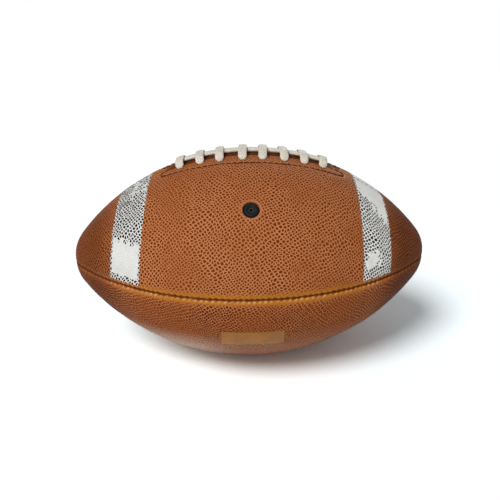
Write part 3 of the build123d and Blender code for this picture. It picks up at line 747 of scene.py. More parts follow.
class Cover:
    """The finish of the cover: its layers, and the places and patterns that they share."""

    # Each pair is where a zone starts and where it is complete, in metres
    # Height over the side seams: the lower panels' grain, the puckers' painted highlight, the painted floor
    # reflection, worn paint, lace's shade
    LOWER_GRAIN = (0.0, -0.012)
    UNDER_SEAM = (0.0, -0.0004)
    UNDERSIDE_SHEEN = (-0.030, -0.058)
    LEFT_WORN = (0.0265, 0.0375)
    LEFT_SPARED = (0.050, 0.062)
    FOOT_WORN = (0.0095, 0.0062)
    RIGHT_WORN = (0.068, 0.058)
    LACE_RISE = (0.02, 0.03)
    # Along the ball: the right half, the painted floor reflection's stronger left, the ochre band's ends,
    # dark tips with painted shade on the right one, and the lacing
    RIGHT_HALF = (-0.01, 0.01)
    SHEEN_LEFT = (-0.005, -0.055)
    BAND_ENDS = (0.125, 0.060)
    TIPS_DARK_AND_SHADED = (0.088, 0.122)
    LACE_ENDS = (0.066, 0.060)
    # From a seam: the ochre band, the dirt and the lace's shade
    BAND = (0.0062, 0.0028)
    DIRT = (0.0018, 0.0007)
    LACE_SHADE = (0.0062, 0.0040)
    # From a stripe's border and from the middle of the kept patch and of the smudge
    BORDER_WORN = (0.0016, 0.0008)
    PATCH_EDGE = (0.0020, 0.0110)
    SMUDGE_EDGE = (0.0090, 0.0040)
    # Middle of the kept patch on the right stripe and of the smudge on the left one, along and up
    PATCH = (0.0885, 0.0175, 0)
    SMUDGE = (0.0950, 0.0500, 0)
    # Fall of the right stripe's worn edge for each metre along the ball
    WORN_SLANT = 1.23
    # How soft the borders of the stripes are, beside the leather and above the seam
    STRIPE_SOFT = 0.0004
    FOOT_SOFT = 0.0005
    # How far edges are ragged: of the pebbles, in cells, and of bands, stripes and seam dirt, in metres
    PEBBLE_RAGGED = 0.16
    BAND_RAGGED = 0.010
    STRIPE_RAGGED = 0.0024
    DIRT_RAGGED = 0.0036
    # How far the dirt draws back from a pucker
    DIRT_PULL = 0.0010

    def __init__(self, board, settings):
        self.board = board
        self.colours = settings.colours
        self.stripe = settings.stripe
        self.place = board.place()
        self.x, y, z = board.parts(self.place)
        self.reach = board.math("ABSOLUTE", self.x)
        self.rise = board.math("SUBTRACT", z, BallForm(settings.ball).centre)
        self.seam = board.math("MINIMUM", board.math("ABSOLUTE", self.rise), board.math("ABSOLUTE", y))
        self.right = board.smooth(self.x, *self.RIGHT_HALF)
        self.lower = board.smooth(self.rise, *self.LOWER_GRAIN)
        self.pucker = board.attribute("pucker")
        self.fine = board.noise(self.place, 420.0, 3.0, 0.6)
        lay = [board.attribute(name) for name in ("along", "round")]
        cells = pebble_cells(board, settings.pebble, self.place, *lay)
        edges = board.node("ShaderNodeTexVoronoi", CELL_EDGES, cells).outputs["Distance"]
        self.tone = board.parts(board.node("ShaderNodeTexVoronoi", CELL_COLOURS, cells).outputs["Color"])[0]
        self.dome = board.math("ADD", edges, board.swing(self.fine, self.PEBBLE_RAGGED))
        foot, crown = board.spread(self.lower, 0.10, 0.07), board.spread(self.lower, 0.24, 0.14)
        self.cap = board.times(
            board.smooth(self.dome, foot, crown), board.spread(board.attribute("smooth"), 1.0, 0.25)
        )

    def leather(self):
        """Bare leather: grain, redder clouds, ochre bands, a painted highlight on the puckers, darker tips
        with painted shade on the right one, and a painted reflection of the floor on the underside.
        """
        board, colours = self.board, self.colours
        top = board.mix(self.lower, colours.pebble_top, colours.pebble_lower)
        leather = board.mix(self.cap, colours.pebble_valley, top)
        clouds = board.smooth(board.noise(self.place, 26.0, 4.0, 0.6), 0.38, 0.66)
        leather = board.mix(board.times(clouds, 0.38), leather, colours.ruddy)
        leather = board.mix(board.spread(self.tone, 0.0, 0.16), leather, colours.ruddy)
        mottle = board.noise(self.place, 130.0, 3.0, 0.6)
        ragged = board.math("ADD", self.seam, board.swing(mottle, self.BAND_RAGGED))
        faded = board.spread(board.smooth(mottle, 0.30, 0.60), 0.45, 0.95)
        band = board.times(board.smooth(ragged, *self.BAND), board.smooth(self.reach, *self.BAND_ENDS), faded)
        leather = board.mix(band, leather, colours.ochre)
        # Painted highlight: the puckers are lightened, mostly below the side seams, where they face up to the
        # light
        under = board.spread(board.smooth(self.rise, *self.UNDER_SEAM), 0.12, 0.88)
        uneven = board.spread(board.smooth(mottle, 0.38, 0.60), 0.15, 1.0)
        leather = board.mix(board.times(self.pucker, under, uneven), leather, colours.pucker)
        leather = board.mix(board.smooth(self.reach, *self.TIPS_DARK_AND_SHADED), leather, colours.tip, "MULTIPLY")
        # Painted shade: the right tip is darkened once more, as the light falls from the left
        right_tip_shade = board.times(board.smooth(self.x, *self.TIPS_DARK_AND_SHADED), 0.38)
        leather = board.mix(right_tip_shade, leather, colours.tip, "MULTIPLY")
        # Painted reflection: the underside is lightened as if it mirrored the bright floor, most on the left,
        # where the floor is lit
        left_sheen = board.spread(board.smooth(self.x, *self.SHEEN_LEFT), 0.8, 3.8)
        painted_sheen = board.smooth(self.rise, *self.UNDERSIDE_SHEEN)
        painted_sheen = board.times(painted_sheen, board.spread(self.cap, 0.26, 0.10), left_sheen)
        return board.mix(painted_sheen, leather, colours.floor_sheen)

    def along_stripe(self):
        """Distance from the middle of the ball, less the shift of the leaning stripe at this height."""
        board, stripe = self.board, self.stripe
        left, right = [
            board.math("MULTIPLY_ADD", self.rise, (shift[1] - shift[0]) / stripe.reach, shift[0])
            for shift in (stripe.left_shift, stripe.right_shift)
        ]
        shift = board.math("MULTIPLY_ADD", self.right, board.math("SUBTRACT", right, left), left)
        return board.math("SUBTRACT", self.reach, shift)

    def painted(self, aside):
        """Mask of the stripes, with slightly ragged edges."""
        board, stripe, soft = self.board, self.stripe, self.STRIPE_SOFT
        wobble = board.swing(self.fine, self.STRIPE_RAGGED)
        edge = board.math("ADD", aside, wobble)
        inner = board.smooth(edge, stripe.inner - soft, stripe.inner + soft)
        outer = board.smooth(edge, stripe.outer + soft, stripe.outer - soft)
        foot = stripe.seam_gap - self.FOOT_SOFT, stripe.seam_gap + self.FOOT_SOFT
        return board.times(inner, outer, board.smooth(board.math("ADD", self.rise, wobble), *foot))

    def paint(self, aside):
        """Paint of the stripes, worn off the pebbles in places, grimy and smudged."""
        board, colours, stripe = self.board, self.colours, self.stripe
        spot = board.pair(aside, self.rise)
        from_patch, from_smudge = [
            board.vector("DISTANCE", {0: spot, 1: middle}).outputs["Value"]
            for middle in (self.PATCH, self.SMUDGE)
        ]
        left_worn = board.times(
            board.smooth(self.rise, *self.LEFT_WORN), board.math("SUBTRACT", 1.0, self.right),
            board.spread(board.smooth(self.rise, *self.LEFT_SPARED), 1.0, 0.55),
        )
        from_inner = board.math("SUBTRACT", aside, stripe.inner)
        slant = board.math("MULTIPLY_ADD", from_inner, self.WORN_SLANT, self.rise)
        right_worn = board.smooth(slant, *self.RIGHT_WORN)
        right_worn = board.times(right_worn, board.smooth(from_patch, *self.PATCH_EDGE))
        zone = board.math("MULTIPLY_ADD", right_worn, self.right, left_worn)
        border = board.math("MINIMUM", from_inner, board.math("SUBTRACT", stripe.outer, aside))
        for edge in (board.smooth(self.rise, *self.FOOT_WORN), board.smooth(border, *self.BORDER_WORN)):
            zone = board.math("MAXIMUM", zone, edge)
        chance = board.math("ADD", board.swing(self.tone, 0.7), zone)
        dots = board.times(board.smooth(self.dome, 0.14, 0.18), board.smooth(chance, 0.42, 0.52))
        grime = board.group(grime_group(), {"Vector": self.place, "Scale": 90.0})["Mask"]
        paint = board.mix(self.right, colours.paint, colours.whiter_paint)
        paint = board.mix(board.times(grime, 0.10), paint, colours.worn)
        paint = board.mix(dots, paint, colours.worn)
        smudged = board.smooth(board.noise(self.place, 190.0, 3.0, 0.6), 0.52, 0.60)
        smudged = board.times(smudged, board.smooth(from_smudge, *self.SMUDGE_EDGE), left_worn, 0.7)
        return board.mix(smudged, paint, colours.smudge)

    def soiled(self):
        """Mask of the dirt in the seams and of the shade beside the lace."""
        board = self.board
        line = board.math("ADD", self.seam, board.swing(self.fine, self.DIRT_RAGGED))
        pulled = board.math("MULTIPLY_ADD", self.pucker, self.DIRT_PULL, line)
        dirt = board.times(board.smooth(pulled, *self.DIRT), 0.90)
        shade_zones = (self.reach, self.LACE_ENDS), (self.rise, self.LACE_RISE), (line, self.LACE_SHADE)
        shaded = board.times(*[board.smooth(value, *zone) for value, zone in shade_zones], 0.85)
        return board.math("MAXIMUM", dirt, shaded)


def cover_leather(settings):
    """Pebbled leather with ochre seam bands, darker tips and worn paint stripes on the upper panels."""
    material, board = material_board("cover_leather")
    cover = Cover(board, settings)
    aside = cover.along_stripe()
    finish = board.mix(cover.painted(aside), cover.leather(), cover.paint(aside))
    # Dirt in the seams, and painted shade on the leather beside the lace, in the dirt's colour
    finish = board.mix(cover.soiled(), finish, settings.colours.seam)
    grain = board.group(grain_group(), {"Vector": cover.place, "Scale": 2200.0})["Height"]
    relief = board.math("ADD", cover.cap, board.times(grain, 0.18))
    board.surface(
        Base_Color=finish, Roughness=board.spread(cover.cap, 0.56, 0.46), Specular_IOR_Level=0.03,
        Normal=board.bump(relief, 0.7, settings.pebble.height),
    )
    return material


def lace_vinyl(settings):
    """Pressed off-white vinyl, dirty in the grain."""
    colours = settings.colours
    material, board = material_board("lace_vinyl")
    place = board.place()
    grain, handled = board.attribute("pebble"), board.attribute("tone")
    fine = board.noise(place, 700.0, 3.0, 0.6)
    high = board.smooth(board.math("ADD", grain, board.math("SUBTRACT", fine, 0.5)), 0.05, 0.75)
    colour_mix = board.mix(high, colours.lace_shade, colours.lace)
    grime = board.group(grime_group(), {"Vector": place, "Scale": 160.0})["Mask"]
    colour_mix = board.mix(board.times(grime, 0.15, handled), colour_mix, colours.lace_shade)
    pores = board.group(grain_group(), {"Vector": place, "Scale": 2600.0})["Height"]
    board.surface(
        Base_Color=colour_mix, Roughness=0.58, Specular_IOR_Level=0.3, Normal=board.bump(pores, 0.2, 0.0001),
    )
    return material


def facing_thread(settings):
    """Dark twisted thread."""
    material, board = material_board("facing_thread")
    place = board.place()
    fibres = board.noise(place, 3000.0, 2.0, 0.6)
    light = tuple(min(1.0, 2.4 * part) for part in settings.colours.stitch)
    board.surface(
        Base_Color=board.mix(board.smooth(fibres, 0.35, 0.7), settings.colours.stitch, light),
        Roughness=0.72, Specular_IOR_Level=0.04, Normal=board.bump(fibres, 0.5, 0.0001),
    )
    return material


def valve_rubber(settings):
    """Black moulded rubber with a little dust."""
    colours = settings.colours
    material, board = material_board("valve_rubber")
    place = board.place()
    dust = board.group(grime_group(), {"Vector": place, "Scale": 240.0})["Mask"]
    grain = board.group(grain_group(), {"Vector": place, "Scale": 2400.0})["Height"]
    board.surface(
        Base_Color=board.mix(board.times(dust, 0.06), colours.rubber, colours.dust),
        Roughness=0.5, Specular_IOR_Level=0.08, Normal=board.bump(grain, 0.2, 0.0001),
    )
    return material


def label_film(settings):
    """Thin clear film with a warm tinted field and a clear margin below it."""
    material, board = material_board("label_film")
    place = board.place()
    rise = board.math("SUBTRACT", board.parts(place)[2], BallForm(settings.ball).centre)
    field = board.smooth(rise, *settings.label.field)
    haze = board.smooth(board.noise(place, 70.0, 2.0, 0.5), 0.35, 0.65)
    pale = tuple(min(1.0, 1.25 * part) for part in settings.colours.film)
    board.surface(
        Base_Color=board.mix(haze, settings.colours.film, pale), Roughness=0.30,
        Alpha=board.spread(field, 0.22, 0.75), Specular_IOR_Level=0.3,
    )
    return material


def inner_finish(name, base, shade_colour, scale, roughness):
    """A plain soft finish with fine grain, for a layer under the cover."""
    material, board = material_board(name)
    place = board.place()
    clouds = board.noise(place, scale, 4.0, 0.6)
    grain = board.group(grain_group(), {"Vector": place, "Scale": scale * 6})["Height"]
    board.surface(
        Base_Color=board.mix(board.smooth(clouds, 0.3, 0.7), base, shade_colour),
        Roughness=roughness, Normal=board.bump(grain, 0.4, 0.0002),
    )
    return material


def woven_cloth(name):
    """Unbleached plain weave."""
    material, board = material_board(name)
    place = board.place()
    threads = {"Vector": place, "Scale": 320.0}
    warp, weft = [
        board.node("ShaderNodeTexWave", {"bands_direction": direction}, threads).outputs["Fac"]
        for direction in ("X", "Z")
    ]
    weave = board.math("MAXIMUM", warp, weft)
    board.surface(
        Base_Color=board.mix(weave, (0.42, 0.36, 0.26), (0.66, 0.60, 0.47)),
        Roughness=0.9, Normal=board.bump(weave, 0.5, 0.0002),
    )
    return material


def dress(piece, material, node_name):
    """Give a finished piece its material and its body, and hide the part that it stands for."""
    piece.data.materials.clear()
    piece.data.materials.append(material)
    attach(piece, "root")
    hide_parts(node_name)


# Pieces

# Largest wall and turned-in edge of a panel near a tip, as shares of the radius there
TIP_WALL = 0.3
TIP_ALLOWANCE = 0.45
# Share of a panel's turn that its inside rows keep from either edge
INNER_MARGIN = 0.08
# Points measured at a time
DISTANCE_BATCH = 4096
# Turns up to this little before a panel's first edge, in radians, are counted back from it
TURN_MARGIN = 0.1
# Each pair is where a zone starts and where it is complete, in metres
# From a seam: smooth leather, and the slow waves
SEAM_SMOOTH = (0.0050, 0.0015)
SAG_START = (0.004, 0.02)
# From a tip: smooth leather, and the stitches' pull
TIP_SMOOTH = (0.045, 0.006)
SEWN_TIP = (0.010, 0.035)
# From the middle of the ball: stitches beyond the lacing, and the ridge under it with its width
SEWN_PAST_LACE = (0.074, 0.082)
LACE_RIDGE = (0.078, 0.060)
RIDGE_WIDTH = 0.010
# Puckers: their slant, middle and reach from the seam, and where between the stitches their crests are, which
# carry a painted highlight
PUCKER_SLANT = 0.5
PUCKER_MIDDLE = 0.0015
PUCKER_REACH = 0.0010
PUCKER_CRESTS = (0.62, 0.12)
# Round the facings' stitches: how far out is looked, steps along the groove, widths and smooth leather
FACING_MARGIN = 0.01
GROOVE_STEP = 0.0006
GROOVE_WIDTH = 0.0013
HOLE_WIDTH = 0.0008
GROOVE_SMOOTH = (0.0030, 0.0008)
# Round the valve: smooth leather, the raised ring and the fall to the hole, with their widths
VALVE_SMOOTH = 0.0030
VALVE_RING = 0.00025
VALVE_RING_WIDTH = 0.0012
VALVE_FALL = 0.00055
VALVE_FALL_WIDTH = 0.0009
# The valve's own face, as steps outwards and up: from the needle hole, the dish's edge and the rim
VALVE_LIP = (0.0001, 0.00012)
VALVE_DISH = ((-0.0003, -0.0002), (0.0, 0.0), (0.0004, 0.0001))
VALVE_RIM = ((-0.0012, 0.0001), (-0.0009, -0.0001), (-0.0006, -0.0006), (-0.0003, -0.0016), (0.0, -0.0020))
# Mesh steps round the valve and the thread, along and across the film, and along the lace's run and bars
VALVE_SIDES = 96
THREAD_SIDES = 8
FILM_STEPS = (60, 30)
RUN_STEPS = 47
BAR_STEPS = 24
# From the seam, where a bar goes from pressed onto the run to its full thickness
BAR_PRESSED = (0.0030, 0.0065)
# The lace's grain: its scatter, seed and valley width, and the share of its height that is sunk
GRAIN_SCATTER = 0.7
GRAIN_SEED = 3
GRAIN_EDGE = 0.0008
GRAIN_LEVEL = 0.8
# Depths, here above the ball's plain form, where the lace starts to be soiled and is fully so
LACE_SOILED = (-0.0045, -0.0005)
# Places are told apart in this many steps to the metre
PLACE_STEPS = 1e7


def panel_rings(form, ball, first_turn):
    """Rings of one panel, seam to seam outside, round its turned-in edges and back inside."""
    last_turn = first_turn + math.pi / 2
    arc = np.linspace(ball.tip_gap - form.half_arc, form.half_arc - ball.tip_gap, ball.columns + 1)[:, None]
    _, radius, _ = form.profile(arc)
    wall = np.minimum(ball.thickness, TIP_WALL * radius)
    deep = np.minimum(ball.allowance, TIP_ALLOWANCE * radius)
    away = [np.array([0, -math.cos(turn), -math.sin(turn)]) for turn in (first_turn, last_turn)]
    turns = np.linspace(first_turn, last_turn, ball.rows + 1)[None, :]
    outside = form.place(arc, turns, np.zeros_like(arc))
    shares = np.linspace(1 - INNER_MARGIN, INNER_MARGIN, ball.inner_rows)[None, :]
    inside = form.place(arc, first_turn + shares * math.pi / 2, -wall)

    def edge(turn, depth, aside):
        return form.place(arc, turn, -depth) + aside

    near_wall, far_wall = wall[:, :, None] * away[0], -wall[:, :, None] * away[1]
    far_edge, near_edge = [
        [edge(turn, deep, 0), edge(turn, deep, aside), edge(turn, wall, aside)]
        for turn, aside in ((last_turn, far_wall), (first_turn, near_wall))
    ]
    return np.concatenate([outside, *far_edge, inside, *near_edge[::-1], outside[:, :1]], axis=1)


def slot_cutters(form, lace, side):
    """Blocks for the slots of the bars on one side and for the two ends of the lengthwise run."""
    long = lace.pinch * lace.width + 2 * lace.slot_clearance
    narrow = lace.thickness + 2 * lace.slot_clearance
    end = lace_end(lace)
    bar_end = "front" if side < 0 else "arc"
    places = [(bar[bar_end], side * bar["half"], long, narrow) for bar in lace_bars(lace)]
    places += [(lace.offset + arc, 0.0, narrow, long) for arc in (-end, end)]
    blocks = []
    for arc, across, x_size, y_size in places:
        origin, _, _ = form.lace_frame(arc)
        bpy.ops.mesh.primitive_cube_add(
            size=1, location=origin + np.array([0, across, 0]), rotation=(0, arc / form.side, 0),
            scale=(x_size, y_size, 2 * lace.under_depth),
        )
        blocks.append(bpy.context.object)
    return blocks


def lace_end(lace):
    """Half the arc length of the lengthwise run."""
    return lace.pitch * (lace.bar_count - 1) / 2 + lace.tuck


def lace_bars(lace):
    """Place along the seam, front end's place and half span of each cross bar."""
    bars = []
    for index in range(lace.bar_count):
        from_middle = 2 * index / (lace.bar_count - 1) - 1
        half = (lace.span - (lace.span - lace.end_span) * from_middle**2) / 2
        arc = lace.offset + lace.pitch * (index - (lace.bar_count - 1) / 2) + lace.sway[index]
        bars.append({"arc": arc, "front": arc + lace.lean[index], "half": half})
    return bars


def nearest_distance(points, line):
    """Distance from each point in plan to the nearest of the points of a line."""
    result = np.empty(len(points))
    for start in range(0, len(points), DISTANCE_BATCH):
        batch = slice(start, start + DISTANCE_BATCH)
        result[batch] = np.min(np.linalg.norm(points[batch, None] - line[None], axis=2), axis=1)
    return result


def valve_seat(form, valve):
    """The place on the plain form that the valve is centred on."""
    return form.place(np.zeros(1), valve.turn, np.zeros(1))[0]


def seam_pull(ball, arc, to_tip, distance, laced):
    """How far a seam pulls the leather in at these distances from it, and where it is puckered."""
    depth = ball.valley_depth * np.clip(1 - distance / ball.valley_width, 0, 1) ** 2
    depth += ball.shoulder_depth * np.exp(-((distance / ball.shoulder_width) ** 2))
    sewn = smooth_step(np.abs(arc), *SEWN_PAST_LACE) if laced else np.ones_like(arc)
    sewn *= smooth_step(to_tip, *SEWN_TIP)
    drift = 0.8 * np.sin(arc * 71.0) + 0.5 * np.sin(arc * 163.0)
    pull = 0.5 + 0.5 * np.cos(2 * math.pi * (arc + PUCKER_SLANT * distance) / ball.pucker_pitch + drift)
    reach = np.exp(-(((distance - PUCKER_MIDDLE) / PUCKER_REACH) ** 2))
    depth += sewn * ball.pucker_depth * pull**1.5 * reach
    if laced:
        depth -= smooth_step(np.abs(arc), *LACE_RIDGE) * ball.ridge * np.exp(-((distance / RIDGE_WIDTH) ** 2))
    return depth, sewn * reach * smooth_step(pull, *PUCKER_CRESTS)


def panel_relief(settings, form, points, arc, turn, first_turn):
    """Height of the leather over the plain form, how smooth it is and where it is puckered."""
    facing, valve = settings.facing, settings.valve
    _, radius, _ = form.profile(arc)
    to_tip = form.half_arc - np.abs(arc)
    local = np.mod(turn - first_turn + TURN_MARGIN, 2 * math.pi) - TURN_MARGIN
    seams = [radius * np.sin(local), radius * np.sin(math.pi / 2 - local)]
    from_seam = np.minimum(*seams)
    smooth = 0.9 * smooth_step(from_seam, *SEAM_SMOOTH)
    smooth = np.maximum(smooth, 0.45 * smooth_step(to_tip, *TIP_SMOOTH))
    waves = np.sin(arc * 140.0 + 2.0 * np.sin(local * 7.0)) * np.sin(local * 23.0 + arc * 60.0)
    height = settings.pebble.sag * waves * smooth_step(from_seam, *SAG_START)
    pucker = np.zeros_like(arc)
    for distance, seam_turn in zip(seams, (first_turn, first_turn + math.pi / 2)):
        laced = math.cos(seam_turn) > 0.99
        depth, puckered = seam_pull(settings.ball, arc, to_tip, distance, laced)
        height -= depth
        pucker += puckered

    plan = points[:, :2] - np.array([settings.lace.offset, 0])
    box = np.array([facing.length / 2, facing.half_width]) + FACING_MARGIN
    near = (np.cos(turn) > 0.2) & np.all(np.abs(plan) < box, axis=1)
    if near.any():
        side = np.array([1, 1 if plan[near, 1].mean() > 0 else -1])
        line, _ = leaf_line(facing, GROOVE_STEP)
        distance = nearest_distance(plan[near], line * side)
        holes = nearest_distance(plan[near], stitch_holes(facing) * side)
        height[near] -= facing.groove * np.exp(-((distance / GROOVE_WIDTH) ** 2))
        height[near] -= 0.5 * facing.groove * np.exp(-((holes / HOLE_WIDTH) ** 2))
        smooth[near] = np.maximum(smooth[near], 0.7 * smooth_step(distance, *GROOVE_SMOOTH))

    from_valve = np.linalg.norm(points - valve_seat(form, valve), axis=1) - valve.radius
    smooth = np.maximum(smooth, smooth_step(from_valve, VALVE_SMOOTH, 0))
    height += VALVE_RING * np.exp(-(((from_valve - VALVE_RING_WIDTH) / VALVE_RING_WIDTH) ** 2))
    height -= VALVE_FALL * smooth_step(from_valve, VALVE_FALL_WIDTH, 0)
    return height, smooth, pucker


def build_panel(settings, name, first_turn, cutters):
    """One cover panel with its holes, edges and grain."""
    ball = settings.ball
    form = BallForm(ball)
    piece = grid_skin(name, panel_rings(form, ball, first_turn))
    if cutters:
        cut(piece, cutters)
    points = read_points(piece)
    arc, turn, depth = form.locate(points)
    outside = depth < 0.25 * ball.thickness
    shown = arc[outside], turn[outside]
    height, smooth, pucker = panel_relief(settings, form, points[outside], *shown, first_turn)
    points[outside] = form.place(*shown, height - depth[outside])
    points[:, 2] = np.maximum(points[:, 2], 0)
    write_points(piece, points)
    _, radius, _ = form.profile(arc)
    middle = first_turn + math.pi / 4
    across = radius * (np.mod(turn - middle + math.pi, 2 * math.pi) - math.pi)
    finer = settings.pebble.lower if abs(middle - math.pi) < math.pi / 2 else 1.0
    write_attribute(piece, "along", finer * arc)
    write_attribute(piece, "round", finer * across)
    for attribute, values in (("smooth", smooth), ("pucker", pucker), ("raised", 1 - smooth)):
        full = np.zeros(len(points))
        full[outside] = values
        write_attribute(piece, attribute, full)
    pick(piece)
    bpy.ops.object.modifier_add(type="NODES")
    modifier = piece.modifiers[-1]
    modifier.node_group = pebble_relief(settings)
    bpy.ops.object.modifier_apply(modifier=modifier.name)
    shade(piece)
    return piece


class FOOTBALL_OT_panels(bpy.types.Operator):
    """Build the four cover panels with their grain, seams and holes"""

    bl_idname = "football.panels"
    bl_label = "Cover panels"

    def execute(self, context):
        settings = context.scene.football
        form = BallForm(settings.ball)
        valve = settings.valve
        leather = cover_leather(settings)
        quarter = math.pi / 2
        bpy.ops.object.select_all(action="DESELECT")
        bpy.ops.mesh.primitive_cylinder_add(
            vertices=VALVE_SIDES, radius=valve.radius + valve.clearance, depth=8 * settings.ball.thickness,
            location=valve_seat(form, valve), rotation=(valve.turn, 0, 0),
        )
        valve_hole = bpy.context.object
        places = {
            "panel_front_upper": (0.0, slot_cutters(form, settings.lace, -1) + [valve_hole]),
            "panel_front_lower": (quarter, []),
            "panel_back_lower": (2 * quarter, []),
            "panel_back_upper": (3 * quarter, slot_cutters(form, settings.lace, 1)),
        }
        for name, (turn, cutters) in places.items():
            piece = build_panel(settings, name + "_look", turn, cutters)
            dress(piece, leather, name)
        return {"FINISHED"}


def lace_route(settings):
    """Corner points and bend radii of the whole lace, and its width direction and thickness scale there."""
    lace = settings.lace
    form = BallForm(settings.ball)
    back = np.array([0.0, 1.0, 0.0])
    run_thick, bar_thick = lace.run_thickness / lace.thickness, lace.bar_thickness / lace.thickness
    points, radii, guides = [], [], []

    def add(arc, across, height, bend, guide, thick=1.0):
        origin, along, outwards = form.lace_frame(arc)
        points.append(origin + across * back + height * outwards)
        radii.append(bend)
        guides.append(np.append(along if guide is None else guide, thick))

    run_height = lace.run_clearance + lace.run_thickness / 2
    crown = run_height + lace.run_thickness / 2 + lace.crossing_gap + lace.bar_thickness / 2
    first, last = lace.offset - lace_end(lace), lace.offset + lace_end(lace)
    add(first, 0, -lace.under_depth, 0, back)
    add(first, 0, run_height, lace.bend, back)
    for arc in np.linspace(first, last, RUN_STEPS + 1)[2:-2]:
        add(arc, 0, run_height, 0, back, run_thick)
    add(last, 0, run_height, lace.bend, back)
    add(last, 0, -lace.under_depth, lace.bend, back + form.lace_frame(last)[1])
    for bar in reversed(lace_bars(lace)):
        arc, front, half = bar["arc"], bar["front"], bar["half"]
        edge = half + lace.thickness / 2
        shoulder = lace.clearance + lace.thickness / 2 - (form.radius - math.sqrt(form.radius**2 - edge**2))
        rise = crown - shoulder
        bow = (half**2 + rise**2) / (2 * rise)
        add(front, -half, -lace.under_depth, lace.bend, None)
        add(front, -half, shoulder, lace.bend, None)
        for across in np.linspace(-half, half, BAR_STEPS + 1)[3:-3]:
            place = arc + (front - arc) * smooth_step(-across, 0, half)
            thick = bar_thick + (1 - bar_thick) * smooth_step(abs(across), *BAR_PRESSED)
            add(place, across, crown - bow + math.sqrt(bow**2 - across**2), 0, None, thick)
        add(arc, half, shoulder, lace.bend, None)
        add(arc, half, -lace.under_depth, lace.bend, None)
    add(arc, half - 3 * lace.bend, -lace.under_depth, 0, None)
    return points, radii, guides


class FOOTBALL_OT_lace(bpy.types.Operator):
    """Build the lace as one strip over its whole route"""

    bl_idname = "football.lace"
    bl_label = "Lace"

    def execute(self, context):
        settings = context.scene.football
        lace = settings.lace
        points, radii, guides = lace_route(settings)
        route, guided, run = rounded_route(points, radii, lace.step, guides)
        section = rounded_section(lace.width, lace.thickness, lace.edge_radius, lace.step)
        section[:, 1] *= 1 - lace.pillow * (2 * section[:, 0] / lace.width) ** 2
        form = BallForm(settings.ball)
        _, _, depth = form.locate(route)
        narrow = lace.pinch + (1 - lace.pinch) * np.sqrt(np.clip(-depth / lace.round_end, 0, 1))
        scales = np.stack([narrow, guided[:, 3]], axis=1)
        rings, outwards, wide = strip_rings(route, guided[:, :3], section, scales)
        edge = run_lengths(section)
        along = np.repeat(run, len(edge))
        around = np.tile(edge, len(run))
        borders = cell_borders(along, around, edge[-1], (lace.grain_pitch, GRAIN_SCATTER), GRAIN_SEED)
        bump = smooth_step(borders, 0, GRAIN_EDGE).reshape(rings.shape[:2])
        bump[:, -1] = bump[:, 0]
        normal = np.gradient(section, axis=0)
        normal = np.stack([normal[:, 1], -normal[:, 0]], axis=1)
        normal /= np.linalg.norm(normal, axis=1, keepdims=True)
        push = wide[:, None, :] * normal[None, :, 0, None] + outwards[:, None, :] * normal[None, :, 1, None]
        rings = rings + push * (lace.grain_height * (bump - GRAIN_LEVEL))[:, :, None]
        rings[:, -1] = rings[:, 0]
        piece = grid_skin("lace_look", rings)
        made = read_points(piece)
        _, _, depth = form.locate(made)
        write_attribute(piece, "pebble", nearest_values(made, rings.reshape(-1, 3), bump.ravel()))
        write_attribute(piece, "tone", smooth_step(depth, *LACE_SOILED))
        shade(piece)
        dress(piece, lace_vinyl(settings), "lace")
        return {"FINISHED"}


def nearest_values(points, sources, values):
    """The value stored at the source point that each mesh point came from."""
    given, wanted = [np.rint(places * PLACE_STEPS).astype(int) for places in (sources, points)]
    keys = {tuple(key): value for key, value in zip(given, values)}
    return [keys.get(tuple(key), GRAIN_LEVEL) for key in wanted]


class FOOTBALL_OT_facing_stitches(bpy.types.Operator):
    """Build the stitch lines of the two facings"""

    bl_idname = "football.facing_stitches"
    bl_label = "Facing stitches"

    def execute(self, context):
        settings = context.scene.football
        facing = settings.facing
        form = BallForm(settings.ball)
        thread = facing_thread(settings)
        for name, side in (("thread_facing_front", -1), ("thread_facing_back", 1)):
            holes = stitch_holes(facing) * np.array([1, side]) + np.array([settings.lace.offset, 0])
            stitches = []
            for first, last in zip(holes, np.roll(holes, -1, axis=0)):
                stitches.append(self.stitch(settings, form, first, last))
            bpy.ops.object.select_all(action="DESELECT")
            for stitch in stitches:
                stitch.select_set(True)
            bpy.context.view_layer.objects.active = stitches[0]
            bpy.ops.object.join()
            piece = bpy.context.object
            piece.name = name + "_look"
            piece.data.name = piece.name
            shade(piece)
            dress(piece, thread, name)
        return {"FINISHED"}

    def stitch(self, settings, form, first, last):
        """One stitch: out of its first hole, along the groove and into the next."""
        facing = settings.facing
        thread = facing.thread
        sunk = 0.15 * thread - facing.groove
        pull = (last - first) / np.linalg.norm(last - first) * thread * 0.55
        heights = (-facing.leg, sunk, sunk + 0.25 * thread, sunk, -facing.leg)
        places = (first + pull, first + pull, (first + last) / 2, last - pull, last - pull)
        route = []
        for (x, y), height in zip(places, heights):
            radius = math.sqrt(form.side**2 - x**2) - form.drop
            surface = np.array([x, y, form.centre + math.sqrt(radius**2 - y**2)])
            arc, turn, _ = form.locate(surface[None])
            route.append(form.place(arc, turn, np.array([height]))[0])
        bends = [0, thread * 0.6, thread * 2, thread * 0.6, 0]
        line, _, _ = rounded_route(route, bends, thread * 0.45)
        turns = np.linspace(0, 2 * math.pi, THREAD_SIDES + 1)
        section = thread / 2 * np.stack([np.cos(turns), np.sin(turns)], axis=1)
        section[-1] = section[0]
        chord = np.append(last - first, 0.0)
        beside = np.cross(chord, (0, 0, 1.0))
        rings, _, _ = strip_rings(line, np.tile(beside, (len(line), 1)), section, np.ones((len(line), 2)))
        return grid_skin("stitch", rings)


